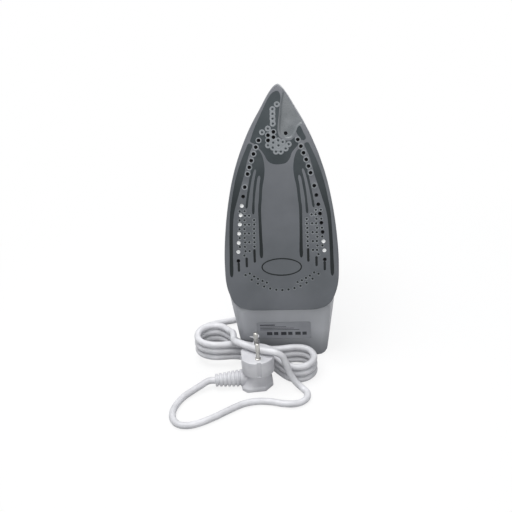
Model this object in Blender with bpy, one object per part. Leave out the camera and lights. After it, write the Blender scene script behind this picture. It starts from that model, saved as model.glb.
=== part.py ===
"""A steam iron standing on its heel, with its mains lead tied in a hank in front of it.

Every length is in metres. The iron is modelled in its ironing attitude, seen from the sole:
local X runs across, local Y is the height above the sole face, and local Z runs from the heel
to the tip. The empty "stance" leans that frame back onto the heel. The lead lies on the floor
in world coordinates, with the iron's box centred over the origin.
"""

import math

import bmesh
import bpy
from mathutils import Matrix, Vector

# General clearances and finish
SEAT_GAP = 0.0003
RUNNING_GAP = 0.0005
OVERRUN = 0.002
ROUND_SIDES = 24
SMALL_SIDES = 14
HOLE_SIDES = 10
SMOOTH_ANGLE = math.radians(40)

# How the iron stands
LEAN = math.radians(16)
HEEL_DROP = 0.064

# Sole
SOLE_LENGTH = 0.236
SOLE_HALF_WIDTH = 0.0593
SOLE_THICKNESS = 0.0032
SOLE_EDGE = 0.0009
SOLE_SHARES = (
    (0.0, 0.50), (0.004, 0.63), (0.015, 0.76), (0.035, 0.855), (0.06, 0.91), (0.10, 0.965),
    (0.14, 0.992), (0.19, 1.0), (0.26, 0.997), (0.34, 0.975), (0.42, 0.940), (0.50, 0.890),
    (0.58, 0.825), (0.66, 0.735), (0.74, 0.617), (0.82, 0.472), (0.90, 0.290), (0.965, 0.140),
    (0.992, 0.050),
)
FRONT_STEP_SHARES = (0.0, 0.08, 0.17, 0.27, 0.38, 0.49, 0.60, 0.70, 0.79, 0.87, 0.93, 0.965, 0.99)
STEAM_HOLE = 0.0026
REAR_ARC_HOLES = 9
REAR_ARC_SHARES = (0.231, 0.560)
FRONT_ARC_HOLES = 6
FRONT_ARC_SHARES = (0.617, 0.762)
ARC_INSET = 0.0144
TIP_HOLE_SHARES = ((-0.076, 0.797), (-0.171, 0.783), (-0.078, 0.774), (-0.172, 0.761),
                   (0.131, 0.790))
GROOVE_DEPTH = 0.0014
GROOVE_SHARES = ((0.085, 0.990), (0.060, 0.880), (0.034, 0.800), (0.048, 0.781), (0.090, 0.768),
                 (0.152, 0.764), (0.220, 0.773), (0.275, 0.792), (0.500, 0.855), (0.400, 0.990))

# Heated casting under the sole's back
CASTING_GAP = SEAT_GAP
CASTING_HEIGHT = 0.0125
CASTING_INSET = 0.0070
DISTRIBUTION_DEPTH = 0.0022
DISTRIBUTION_INSET = 0.0040
STEAM_PORT = 0.0050
CHAMBER_REAR = 0.072
CHAMBER_LENGTH_SHARE = 0.4025
CHAMBER_HALF_WIDTH = 0.021
CHAMBER_FLOOR = 0.0040
HEATER_TUBE = 0.0078
HEATER_GROOVE_SLACK = 0.0008
HEATER_REAR = 0.020
HEATER_FRONT_SHARE = 0.8475
HEATER_SPREAD = 0.0350
HEATER_FRONT_RADIUS = 0.012
HEATER_PIN = 0.0030
HEATER_PIN_LENGTH = 0.010
COVER_THICKNESS = 0.0014
COVER_RIM = 0.0040
COVER_SCREW = 0.0030
COVER_SCREW_HEAD = 0.0058
COVER_SCREW_HEAD_HEIGHT = 0.0012
INSULATION_THICKNESS = 0.0018

# Lower housing: the skirt round the casting and the sloping toe that carries the rating plate
HOUSING_WALL = 0.0026
HOUSING_START = 0.0037
HOUSING_TOP = 0.0260
HOUSING_SIDE_INSET = 0.0005
HOUSING_HALF_WIDTH = SOLE_HALF_WIDTH - HOUSING_SIDE_INSET
HOUSING_TIP_INSET = 0.0012
TOE_START = 0.0030
TOE_HALF_WIDTH = 0.0505
TOE_END_HALF_WIDTH = 0.0465
TOE_CORNER = 0.0110
TOE_BLEND_SHARE = 0.10
PLATE_WIDTH = 0.057
PLATE_HEIGHT = 0.0226
PLATE_THICKNESS = 0.0004
PLATE_CORNER = 0.0020
PLATE_PLACE_SHARE = 0.42
HOUSING_SCREW = 0.0036
HOUSING_SCREW_HEAD = 0.0076
HOUSING_SCREW_HEAD_HEIGHT = 0.0020
HOUSING_SCREW_SPREAD = 0.030
HOUSING_SCREW_PLACE = 0.030

# Rear housing, rear deck and front deck
SPLIT_PLACE = 0.0560
REAR_TOP = 0.0760
REAR_TOP_HALF_WIDTH = 0.0440
REAR_TOP_HEEL_HALF_WIDTH = 0.0370
DECK_HEIGHT = 0.0080
DECK_TAPER = 0.0050

# Water tank
TANK_WALL = 0.0024
TANK_TOP_HALF_WIDTH = 0.0460
TANK_TOP_TIP = 0.200
TANK_MID_TIP = 0.220
GASKET = 0.0016

# Front deck fittings
DECK_TIP_TAPER = 0.010
FILLER_PLACE = 0.1635
FILLER_LENGTH = 0.0150
FILLER_WIDTH = 0.0200
DOOR_LIP = 0.0016
DOOR_THICKNESS = 0.0022
DOOR_PIN = 0.0018
DOOR_EAR = 0.0028
NOZZLE = 0.0080
NOZZLE_BORE = 0.0012
NOZZLE_LENGTH = 0.0170
NOZZLE_FLANGE = 0.0090
NOZZLE_FLANGE_THICKNESS = 0.0024

# Handle
HANDLE_HALF_WIDTH = 0.0170
HANDLE_TOP = 0.1500
HANDLE_SPLIT = 0.1360
HANDLE_BEVEL = 0.0055
HANDLE_FRONT = 0.1500
KNOB_SHELF = 0.1240
KNOB_SHELF_REAR = 0.1245
GAP_FRONT = 0.1035
GAP_REAR = 0.0100
GAP_TOP = 0.1200
GAP_CORNER = 0.0090
GRIP_THICKNESS = 0.0020
GRIP_HALF_WIDTH = 0.0120
GRIP_REAR = 0.0220
GRIP_FRONT = 0.0860
CABLE_CHANNEL_WIDTH = 0.0130
CABLE_CHANNEL_DEPTH = 0.0100

# Steam knob and its valve rod
KNOB_PLACE = 0.1380
KNOB_DIAMETER = 0.0205
KNOB_HEIGHT = 0.0085
KNOB_RIB = 0.0030
ROD = 0.0036
ROD_BORE = 0.0050
VALVE_BODY = 0.0100
VALVE_BODY_HEIGHT = 0.0130
VALVE_LIFT = 0.0020

# Buttons, pumps and their springs
BUTTON_PLACE = 0.1120
BUTTON_SPREAD = 0.0076
BUTTON_WIDTH = 0.0120
BUTTON_LENGTH = 0.0170
BUTTON_RISE = 0.0030
BUTTON_TRAVEL = 0.0045
BUTTON_SKIRT = 0.0080
PLUNGER = 0.0040
PUMP_BARREL = 0.0110
PUMP_BARREL_TOP = 0.1180
PUMP_BARREL_LENGTH = 0.0280
PUMP_BORE_DEPTH = 0.0200
SPRING_WIRE = 0.0009
SPRING_COIL = 0.0078
SPRING_TURNS = 5

# Thermostat and its dial
DIAL_PLACE = 0.0360
DIAL_DIAMETER = 0.0360
DIAL_HEIGHT = 0.0080
DIAL_RIBS = 18
DIAL_RIB = 0.0012
SPINDLE = 0.0050
SPINDLE_BORE = 0.0062
THERMOSTAT_DIAMETER = 0.0190
THERMOSTAT_HEIGHT = 0.0090
FUSE_DIAMETER = 0.0042
FUSE_LENGTH = 0.0160
FUSE_PLACE = 0.0190

# Mains connections
TERMINAL_WIDTH = 0.0280
TERMINAL_LENGTH = 0.0140
TERMINAL_HEIGHT = 0.0120
TERMINAL_PLACE = -0.0200
WIRE = 0.0022
WIRE_SPREAD = 0.0070
CLAMP_LENGTH = 0.0080
CLAMP_HEIGHT = 0.0060
LENS = 0.0070
LENS_PLACE = 0.0900
LENS_RISE = 0.0010
LAMP = 0.0050
LAMP_LENGTH = 0.0060

# Cord bush at the handle's rear end
BUSH_PLACE = 0.0040
BUSH_HEIGHT = 0.1405
BUSH_ANGLE = math.radians(98)
BUSH_BALL = 0.0150
BUSH_THROAT = 0.0115
BUSH_GUARD_LENGTH = 0.0340
BUSH_GUARD_BASE = 0.0112
BUSH_GUARD_END = 0.0094
BUSH_RIBS = 6
BUSH_RIB = 0.0012

# Lead
CORD = 0.0070
TUBE_SIDES = 8
HANK_SIDES = 6
TUBE_STEP_SHARE = 2.6
TAIL_EXIT_HEIGHT = 0.0089

# Hank
HANK_LOOPS = 3
HANK_CENTRE = (-0.031, -0.097)
HANK_TURN = math.radians(-19)
HANK_HALF_RUN = 0.048
HANK_FOLD = 0.0172
HANK_WAIST = 0.0042
HANK_WAIST_SHARE = 0.25
HANK_STEP = 0.0077
HANK_LOOP_POINTS = 24
HANK_END_TURN = math.radians(30)
TIE_WIRE = 0.0009
TIE_SLACK = 0.0004
TIE_TAIL = 0.0090

# Plug, lying on its back with the pins up
PLUG_CENTRE = (-0.0265, -0.1290)
PLUG_TURN = math.radians(8)
PLUG_BACK_LENGTH = 0.0360
PLUG_BACK_WIDTH = 0.0310
PLUG_BACK_CHAMFER = 0.0120
PLUG_BACK_CORNER = 0.0050
PLUG_BACK_EDGE = 0.0045
PLUG_WAIST_LOW = 0.0140
PLUG_WAIST_HIGH = 0.0180
PLUG_WAIST_SHARE = 0.74
PLUG_SHOULDER = 0.0200
PLUG_FACE = 0.0380
PLUG_NOTCH_WIDTH = 0.0040
PLUG_NOTCH_DEPTH = 0.0022
PLUG_ROUND = 0.0365
PLUG_FLATS = 0.0330
PIN_DIAMETER = 0.0048
PIN_PITCH = 0.0190
PIN_LENGTH = 0.0190
PIN_SEAT = 0.0060
PIN_TIP = 0.0010
CLIP_WIDTH = 0.0050
CLIP_THICKNESS = 0.0008
CLIP_REACH = 0.0016
RELIEF_LENGTH = 0.0270
RELIEF_START = 0.0174
RELIEF_END = 0.0130
RELIEF_RIBS = 6
RELIEF_RIB = 0.0013

# Routes of the lead's free stretches on the floor, by eye, as (x, y, z)
LEAD_ROUTE = (
    (0.003, 0.1010, 0.0205), (0.007, 0.1110, 0.0160), (0.012, 0.1230, 0.0105),
    (0.017, 0.1370, 0.0058), (0.020, 0.1520, 0.0038), (0.016, 0.1670, 0.0035),
    (0.003, 0.1760, 0.0035), (-0.013, 0.1750, 0.0035), (-0.026, 0.1640, 0.0035),
    (-0.033, 0.1460, 0.0035), (-0.036, 0.1240, 0.0035), (-0.037, 0.1010, 0.0035),
    (-0.037, 0.0780, 0.0035), (-0.037, 0.0550, 0.0035), (-0.037, 0.0320, 0.0035),
    (-0.038, 0.0120, 0.0035), (-0.043, -0.0050, 0.0035), (-0.054, -0.0165, 0.0035),
    (-0.068, -0.0215, 0.0035), (-0.082, -0.0260, 0.0036),
    (-0.0935, -0.0335, 0.0039), (-0.0985, -0.0440, 0.0042), (-0.0955, -0.0545, 0.0045),
)
TAIL_ROUTE = (
    (-0.0560, -0.0800, 0.0300), (-0.0543, -0.0870, 0.0318), (-0.0535, -0.0950, 0.0332),
    (-0.0523, -0.1035, 0.0352), (-0.0498, -0.1113, 0.0404), (-0.0442, -0.1180, 0.0430),
    (-0.0355, -0.1235, 0.0429), (-0.0265, -0.1280, 0.0424), (-0.0175, -0.1318, 0.0429),
    (-0.0092, -0.1343, 0.0431), (-0.0010, -0.1363, 0.0398), (0.0034, -0.1378, 0.0298),
    (0.0072, -0.1392, 0.0182), (0.0130, -0.1410, 0.0092), (0.0195, -0.1445, 0.0044),
    (0.0240, -0.1508, 0.0035), (0.0238, -0.1585, 0.0035), (0.0188, -0.1648, 0.0035),
    (0.0105, -0.1678, 0.0035), (0.0005, -0.1672, 0.0035), (-0.0125, -0.1640, 0.0035),
    (-0.0265, -0.1632, 0.0035), (-0.0400, -0.1668, 0.0035), (-0.0540, -0.1760, 0.0035),
    (-0.0680, -0.1865, 0.0035), (-0.0830, -0.1955, 0.0035), (-0.0935, -0.1985, 0.0035),
    (-0.1030, -0.1965, 0.0035), (-0.1090, -0.1885, 0.0035), (-0.1105, -0.1780, 0.0035),
    (-0.1078, -0.1660, 0.0035), (-0.1025, -0.1555, 0.0037), (-0.0950, -0.1475, 0.0045),
    (-0.0868, -0.1412, 0.0062),
)

# Heights above the sole face and places along it that follow from the sizes
CHAMBER_LENGTH = SOLE_LENGTH * CHAMBER_LENGTH_SHARE
HEATER_FRONT = SOLE_LENGTH * HEATER_FRONT_SHARE
CASTING_BASE = SOLE_THICKNESS + CASTING_GAP
CASTING_TOP = CASTING_BASE + CASTING_HEIGHT
COVER_BASE = CASTING_TOP + SEAT_GAP
COVER_TOP = COVER_BASE + COVER_THICKNESS
INSULATION_BASE = HOUSING_TOP - HOUSING_WALL - SEAT_GAP - INSULATION_THICKNESS
DECK_BASE = REAR_TOP + SEAT_GAP
DECK_TOP = DECK_BASE + DECK_HEIGHT
TANK_BASE = HOUSING_TOP + SEAT_GAP
TANK_TOP = REAR_TOP - GASKET - SEAT_GAP
TANK_REAR = SPLIT_PLACE + SEAT_GAP
NOZZLE_HEIGHT = DECK_TOP + NOZZLE / 4
NOZZLE_REAR = TANK_TOP_TIP - DECK_TIP_TAPER - NOZZLE_LENGTH / 2
HANDLE_BASE = DECK_TOP + SEAT_GAP

# Name: sRGB hex, roughness, metallic
FINISHES = {
    "ceramic coat": ("7d8187", 0.35, 0.0),
    "die-cast aluminium": ("a9abad", 0.45, 1.0),
    "steel": ("b9bbbd", 0.30, 1.0),
    "brass": ("c2a25a", 0.30, 1.0),
    "white shell": ("eceded", 0.40, 0.0),
    "grey shell": ("a7acb2", 0.40, 0.0),
    "soft grip": ("5b6067", 0.75, 0.0),
    "smoke tank": ("8f9fae", 0.15, 0.0),
    "insulation": ("cfc8b8", 0.90, 0.0),
    "black phenolic": ("26272a", 0.50, 0.0),
    "silicone seal": ("b9534a", 0.60, 0.0),
    "silver label": ("9a9ca0", 0.45, 0.2),
    "red lens": ("c8372d", 0.15, 0.0),
    "white lead": ("e9eaea", 0.45, 0.0),
}


def linear(channel):
    share = channel / 255
    return share / 12.92 if share <= 0.04045 else ((share + 0.055) / 1.055) ** 2.4


def finish(name):
    """The Principled material of one finish, made once."""
    if name in bpy.data.materials:
        return bpy.data.materials[name]
    code, roughness, metallic = FINISHES[name]
    colour = [linear(int(code[k:k + 2], 16)) for k in (0, 2, 4)] + [1.0]
    material = bpy.data.materials.new(name)
    material.use_nodes = True
    shader = material.node_tree.nodes["Principled BSDF"]
    shader.inputs["Base Color"].default_value = colour
    shader.inputs["Roughness"].default_value = roughness
    shader.inputs["Metallic"].default_value = metallic
    material.diffuse_color = colour
    return material


# Placing things in the iron's own frame


def at(x, height, along):
    """A point from its places across, above the sole face and along towards the tip."""
    return Vector((x, height, along))


def heel(height):
    """Where the plane that the iron stands on lies along the sole, at a height above its face."""
    return (height * math.sin(LEAN) - HEEL_DROP) / math.cos(LEAN)


# Mesh building


def new_object(name, mesh_data, material, place=Vector(), parent=None):
    for vertex in mesh_data.verts:
        vertex.co -= place
    bmesh.ops.recalc_face_normals(mesh_data, faces=mesh_data.faces)
    mesh = bpy.data.meshes.new(name)
    mesh_data.to_mesh(mesh)
    mesh_data.free()
    mesh.shade_smooth()
    mesh.set_sharp_from_angle(angle=SMOOTH_ANGLE)
    thing = bpy.data.objects.new(name, mesh)
    thing.location = place
    thing.parent = parent
    if material:
        mesh.materials.append(finish(material))
    bpy.context.scene.collection.objects.link(thing)
    return thing


def add_rings(mesh_data, rings, closed=False):
    """Skin a list of point rings of equal count; the end rings are capped unless closed is set."""
    rows = [[mesh_data.verts.new(point) for point in ring] for ring in rings]
    pairs = list(zip(rows, rows[1:]))
    if closed:
        pairs.append((rows[-1], rows[0]))
    for low, high in pairs:
        for k in range(len(low)):
            nxt = (k + 1) % len(low)
            mesh_data.faces.new((low[k], low[nxt], high[nxt], high[k]))
    if not closed:
        mesh_data.faces.new(rows[0])
        mesh_data.faces.new(list(reversed(rows[-1])))


def lofted(name, rings, material=None, place=Vector(), parent=None):
    mesh_data = bmesh.new()
    add_rings(mesh_data, rings)
    return new_object(name, mesh_data, material, place, parent)


def turned_rings(profile, origin, axis, sides):
    """Rings of a turned shape: profile is a list of (distance along the axis, radius)."""
    axis = axis.normalized()
    across = axis.orthogonal().normalized()
    other = axis.cross(across)
    turns = [2 * math.pi * k / sides for k in range(sides)]
    return [[origin + axis * far + (across * math.cos(t) + other * math.sin(t)) * radius
             for t in turns] for far, radius in profile]


def turned(name, profile, origin, axis, material=None, place=None, parent=None, sides=ROUND_SIDES,
           closed=False):
    mesh_data = bmesh.new()
    add_rings(mesh_data, turned_rings(profile, origin, axis, sides), closed)
    return new_object(name, mesh_data, material, origin if place is None else place, parent)


def group(name, ring_sets, material, place=Vector(), parent=None):
    """One node of several separate solids."""
    mesh_data = bmesh.new()
    for rings in ring_sets:
        add_rings(mesh_data, rings)
    return new_object(name, mesh_data, material, place, parent)


def copies(name, ring_sets, material, parent=None):
    """Separate nodes of one kind, numbered from 1."""
    for number, rings in enumerate(ring_sets, 1):
        lofted(f"{name}_{number}", rings, material, parent=parent)


def block_rings(low, high):
    """The two rings of a box between two corners."""
    return [[Vector((low.x, level, low.z)), Vector((high.x, level, low.z)),
             Vector((high.x, level, high.z)), Vector((low.x, level, high.z))]
            for level in (low.y, high.y)]


def pierce(target, name, ring_sets):
    """Cut a set of separate solids out of an object."""
    cutter = group(name, ring_sets, None, parent=target.parent)
    cutter.hide_render = True
    cutter.hide_viewport = False
    cutter.display_type = "WIRE"
    modifier = target.modifiers.new(name, "BOOLEAN")
    modifier.operation = "DIFFERENCE"
    modifier.solver = "EXACT"
    modifier.object = cutter
    return cutter


def soften(target, width, segments=2):
    modifier = target.modifiers.new("soft edges", "BEVEL")
    modifier.width = width
    modifier.segments = segments
    modifier.limit_method = "ANGLE"
    modifier.angle_limit = SMOOTH_ANGLE
    return modifier


# Outlines across and along


def half_width_share(share):
    """The sole's half width, as a share of its largest, at a share of its length from the heel."""
    table = SOLE_SHARES
    if share <= table[0][0]:
        return table[0][1]
    for (start, low), (end, high) in zip(table, table[1:]):
        if share <= end:
            return low + (high - low) * (share - start) / (end - start)
    last, width = table[-1]
    return width * max(0.0, 1.0 - share) / (1.0 - last)


def iron_outline(rear, tip, half_width):
    """The sole's whole outline, fitted between two ends, as (across, along) points."""
    right = [(half_width * w, rear + (tip - rear) * s) for s, w in SOLE_SHARES]
    nose = [(0.0, tip)]
    return right + nose + [(-x, z) for x, z in reversed(right)]


def front_outline(rear, tip, half_width, full_rear=0.0):
    """The outline's part in front of a straight cut at rear."""
    right = []
    for step_share in FRONT_STEP_SHARES:
        along = rear + (tip - rear) * step_share
        share = (along - full_rear) / (tip - full_rear)
        right.append((half_width * half_width_share(share), along))
    return right + [(0.0, tip)] + [(-x, z) for x, z in reversed(right)]


def heel_outline(front, rear, front_half_width, heel_half_width, corner, arc_points=4):
    """The outline behind a straight cut at front, ending in a round-cornered heel at rear."""
    start_share = front / SOLE_LENGTH
    sides = [s for s, _ in SOLE_SHARES if TOE_BLEND_SHARE <= s < start_share]
    right = []
    for k in range(arc_points + 1):
        turn = -math.pi / 2 + math.pi / 2 * k / arc_points
        right.append((heel_half_width - corner + corner * math.cos(turn),
                      rear + corner + corner * math.sin(turn)))
    right += [(front_half_width * half_width_share(s), s * SOLE_LENGTH) for s in sides]
    right.append((front_half_width * half_width_share(start_share), front))
    return right + [(-x, z) for x, z in reversed(right)]


def level(outline, height):
    return [at(x, height, z) for x, z in outline]


def hole_rings(x, along, diameter, low, high, sides=HOLE_SIDES):
    return turned_rings([(0.0, diameter / 2), (high - low, diameter / 2)], at(x, low, along),
                        at(0, 1, 0), sides)


# The heated parts


def steam_holes():
    """The places of the sole's steam holes: an arc down each side and a few at the tip."""
    places = []
    for count, (start, end) in ((REAR_ARC_HOLES, REAR_ARC_SHARES),
                                (FRONT_ARC_HOLES, FRONT_ARC_SHARES)):
        for k in range(count):
            share = start + (end - start) * k / (count - 1)
            across = SOLE_HALF_WIDTH * half_width_share(share) - ARC_INSET
            places += [(across, share * SOLE_LENGTH), (-across, share * SOLE_LENGTH)]
    places += [(x * SOLE_HALF_WIDTH, z * SOLE_LENGTH) for x, z in TIP_HOLE_SHARES]
    return places


def make_soleplate(stance):
    outer = iron_outline(0.0, SOLE_LENGTH, SOLE_HALF_WIDTH)
    eased = iron_outline(SOLE_EDGE, SOLE_LENGTH - SOLE_EDGE * 3, SOLE_HALF_WIDTH - SOLE_EDGE)
    plate = lofted("soleplate", [level(eased, 0.0), level(outer, SOLE_EDGE),
                                 level(outer, SOLE_THICKNESS)], "ceramic coat", parent=stance)
    holes = [hole_rings(x, z, STEAM_HOLE, -OVERRUN, SOLE_THICKNESS + OVERRUN)
             for x, z in steam_holes()]
    pierce(plate, "steam_hole_cutters", holes)
    groove = [(x * SOLE_HALF_WIDTH, z * SOLE_LENGTH) for x, z in GROOVE_SHARES]
    pierce(plate, "button_groove_cutter", [[level(groove, -OVERRUN), level(groove, GROOVE_DEPTH)]])


def chamber_outline(grow=0.0):
    half, rear, front = CHAMBER_HALF_WIDTH + grow, CHAMBER_REAR - grow, CHAMBER_REAR + CHAMBER_LENGTH
    nose = CHAMBER_HALF_WIDTH / 2
    right = [(half, rear), (half, front - CHAMBER_HALF_WIDTH * 2), (nose + grow, front + grow)]
    return right + [(-x, z) for x, z in reversed(right)]


def heater_path():
    """The heating element's U: two legs that draw together towards the tip, joined by a bend."""
    height = CASTING_BASE + CASTING_HEIGHT
    side = HEATER_FRONT_RADIUS
    right = [at(HEATER_SPREAD, height, HEATER_REAR),
             at(HEATER_SPREAD, height, HEATER_REAR + SOLE_LENGTH / 3),
             at((HEATER_SPREAD + side) / 2 + side / 4, height, HEATER_FRONT - SOLE_LENGTH / 5),
             at(side, height, HEATER_FRONT - side)]
    bend = [at(side * math.cos(t), height, HEATER_FRONT - side + side * math.sin(t))
            for t in [math.pi * k / 6 for k in range(1, 6)]]
    left = [at(-p.x, p.y, p.z) for p in reversed(right)]
    return right + bend + left


def tube_rings(path, diameter, sides):
    """Rings of a tube along a path, each square to the path's local direction."""
    rings = []
    up = None
    for k, point in enumerate(path):
        ahead = path[min(k + 1, len(path) - 1)] - path[max(k - 1, 0)]
        ahead.normalize()
        up = (up or ahead.orthogonal())
        up = (up - ahead * up.dot(ahead)).normalized()
        side = ahead.cross(up)
        rings.append([point + (up * math.cos(t) + side * math.sin(t)) * diameter / 2
                      for t in [2 * math.pi * j / sides for j in range(sides)]])
    return rings


def make_casting(stance):
    inset = CASTING_INSET
    outline = iron_outline(inset, SOLE_LENGTH - inset * 2, SOLE_HALF_WIDTH - inset)
    casting = lofted("heater_casting", [level(outline, CASTING_BASE), level(outline, CASTING_TOP)],
                     "die-cast aluminium", parent=stance)
    inset += DISTRIBUTION_INSET
    under = iron_outline(inset, SOLE_LENGTH - inset * 2, SOLE_HALF_WIDTH - inset)
    roof = CASTING_BASE + DISTRIBUTION_DEPTH
    pierce(casting, "distribution_cutter", [[level(under, CASTING_BASE - OVERRUN), level(under, roof)]])
    pit = chamber_outline()
    floor = roof + CHAMBER_FLOOR
    pierce(casting, "chamber_cutter", [[level(pit, floor), level(pit, CASTING_TOP + OVERRUN)]])
    ports = [hole_rings(x * CHAMBER_HALF_WIDTH / 2, CHAMBER_REAR + CHAMBER_LENGTH * far, STEAM_PORT,
                        roof - OVERRUN, floor + OVERRUN) for x in (-1, 1) for far in (0.15, 0.5)]
    pierce(casting, "port_cutters", ports)
    groove = heater_path()
    for end, inner in ((0, 1), (-1, -2)):
        groove[end] = groove[end] + (groove[end] - groove[inner]).normalized() * HEATER_REAR
    pierce(casting, "heater_groove_cutter",
           [tube_rings(groove, HEATER_TUBE + HEATER_GROOVE_SLACK, SMALL_SIDES)])
    pierce(casting, "screw_socket_cutters",
           [hole_rings(x, z, HOUSING_SCREW + RUNNING_GAP, CASTING_BASE + DISTRIBUTION_DEPTH * 2,
                       CASTING_TOP + OVERRUN) for x, z in housing_screws()]
           + [hole_rings(x, z, COVER_SCREW + RUNNING_GAP, floor, CASTING_TOP + OVERRUN)
              for x, z in cover_screws()])


def housing_screws():
    return [(side * HOUSING_SCREW_SPREAD * 0.75, HOUSING_SCREW_PLACE) for side in (-1, 1)]


def cover_screws():
    reach = CHAMBER_HALF_WIDTH - COVER_RIM / 4
    return [(0.0, CHAMBER_REAR - COVER_RIM), (0.0, CHAMBER_REAR + CHAMBER_LENGTH + COVER_RIM)] + [
        (side * (reach + COVER_RIM), CHAMBER_REAR + CHAMBER_LENGTH * 0.3) for side in (-1, 1)]


def make_heater(stance):
    lofted("heating_element", tube_rings(heater_path(), HEATER_TUBE, SMALL_SIDES), "steel",
           parent=stance)
    pins = []
    for side in (-1, 1):
        start = at(side * HEATER_SPREAD, CASTING_TOP, HEATER_REAR - SEAT_GAP)
        pins.append(turned_rings([(0.0, HEATER_PIN / 2), (HEATER_PIN_LENGTH, HEATER_PIN / 2)], start,
                                 at(0, 0, -1), HOLE_SIDES))
    copies("heater_terminal", pins, "brass", stance)


def make_chamber_cover(stance):
    outline = chamber_outline(COVER_RIM)
    cover = lofted("steam_chamber_cover", [level(outline, COVER_BASE), level(outline, COVER_TOP)],
                   "steel", parent=stance)
    pierce(cover, "cover_cutters",
           [hole_rings(x, z, COVER_SCREW + RUNNING_GAP, COVER_BASE - OVERRUN, COVER_TOP + OVERRUN)
            for x, z in cover_screws()]
           + [hole_rings(0.0, KNOB_PLACE, VALVE_BODY * 0.7, COVER_BASE - OVERRUN,
                         COVER_TOP + OVERRUN, SMALL_SIDES)])
    screws = []
    for x, z in cover_screws():
        head = COVER_TOP + SEAT_GAP
        shank = CASTING_BASE + DISTRIBUTION_DEPTH + CHAMBER_FLOOR + SEAT_GAP
        screws.append(turned_rings([(0.0, COVER_SCREW / 2), (head - shank, COVER_SCREW / 2),
                                    (head - shank, COVER_SCREW_HEAD / 2),
                                    (head - shank + COVER_SCREW_HEAD_HEIGHT, COVER_SCREW_HEAD / 2)],
                                   at(x, shank, z), at(0, 1, 0), HOLE_SIDES))
    copies("cover_screw", screws, "steel", stance)


def make_insulation(stance):
    inset = CASTING_INSET
    outline = iron_outline(inset, SOLE_LENGTH - inset * 3, SOLE_HALF_WIDTH - inset)
    top = INSULATION_BASE + INSULATION_THICKNESS
    sheet = lofted("insulation_sheet", [level(outline, INSULATION_BASE), level(outline, top)],
                   "insulation", parent=stance)
    low, high = INSULATION_BASE - OVERRUN, top + OVERRUN
    pierce(sheet, "insulation_cutters",
           [hole_rings(0.0, KNOB_PLACE, VALVE_BODY + RUNNING_GAP * 2, low, high, SMALL_SIDES),
            hole_rings(0.0, DIAL_PLACE, THERMOSTAT_DIAMETER + RUNNING_GAP * 2, low, high, ROUND_SIDES)]
           + [hole_rings(x, z, HOUSING_SCREW + RUNNING_GAP, low, high) for x, z in housing_screws()])


# Lower housing with its toe, and the rating plate on the toe


def toe_line(height):
    """Where the toe's sloping face lies along the sole, at a height above its face."""
    share = (height - HOUSING_START) / (HOUSING_TOP - HOUSING_START)
    return -TOE_START + (heel(HOUSING_TOP) + TOE_START) * share


def make_lower_housing(stance):
    def ring(height, rear, heel_half):
        rear_part = heel_outline(SPLIT_PLACE, rear, HOUSING_HALF_WIDTH, heel_half, TOE_CORNER)
        front_part = front_outline(SPLIT_PLACE, SOLE_LENGTH - HOUSING_TIP_INSET, HOUSING_HALF_WIDTH)
        middle = len(rear_part) // 2
        return level(rear_part[:middle] + front_part[1:-1] + rear_part[middle:], height)

    rings = [ring(HOUSING_START, toe_line(HOUSING_START), TOE_HALF_WIDTH),
             ring(HOUSING_TOP, toe_line(HOUSING_TOP), TOE_END_HALF_WIDTH)]
    housing = lofted("lower_housing", rings, "white shell", parent=stance)
    wall = HOUSING_WALL
    inner = iron_outline(wall, SOLE_LENGTH - wall * 2, SOLE_HALF_WIDTH - wall)
    roof = HOUSING_TOP - wall
    pierce(housing, "casting_bay_cutter", [[level(inner, HOUSING_START - OVERRUN), level(inner, roof)]])
    low, high = roof - OVERRUN, HOUSING_TOP + OVERRUN
    pierce(housing, "housing_hole_cutters",
           [hole_rings(0.0, KNOB_PLACE, VALVE_BODY + RUNNING_GAP * 2, low, high, SMALL_SIDES),
            hole_rings(0.0, DIAL_PLACE, SPINDLE_BORE, low, high, SMALL_SIDES)]
           + [hole_rings(x, z, HOUSING_SCREW + RUNNING_GAP, low, high) for x, z in housing_screws()]
           + [hole_rings(side * HEATER_SPREAD, HEATER_REAR - HEATER_PIN_LENGTH, WIRE * 2, low, high)
              for side in (-1, 1)])
    pierce(housing, "plate_recess_cutter", [plate_rings(PLATE_WIDTH + SEAT_GAP * 2,
                                                        PLATE_HEIGHT + SEAT_GAP * 2,
                                                        -PLATE_THICKNESS - SEAT_GAP, OVERRUN)])
    lofted("rating_plate", plate_rings(PLATE_WIDTH, PLATE_HEIGHT, -PLATE_THICKNESS, 0.0),
           "silver label", parent=stance)
    screws = []
    for x, z in housing_screws():
        base = CASTING_BASE + DISTRIBUTION_DEPTH * 2 + SEAT_GAP
        under_head = HOUSING_TOP + SEAT_GAP - base
        screws.append(turned_rings([(0.0, HOUSING_SCREW / 2), (under_head, HOUSING_SCREW / 2),
                                    (under_head, HOUSING_SCREW_HEAD / 2),
                                    (under_head + HOUSING_SCREW_HEAD_HEIGHT, HOUSING_SCREW_HEAD / 2)],
                                   at(x, base, z), at(0, 1, 0), HOLE_SIDES))
    copies("housing_screw", screws, "steel", stance)


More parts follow.
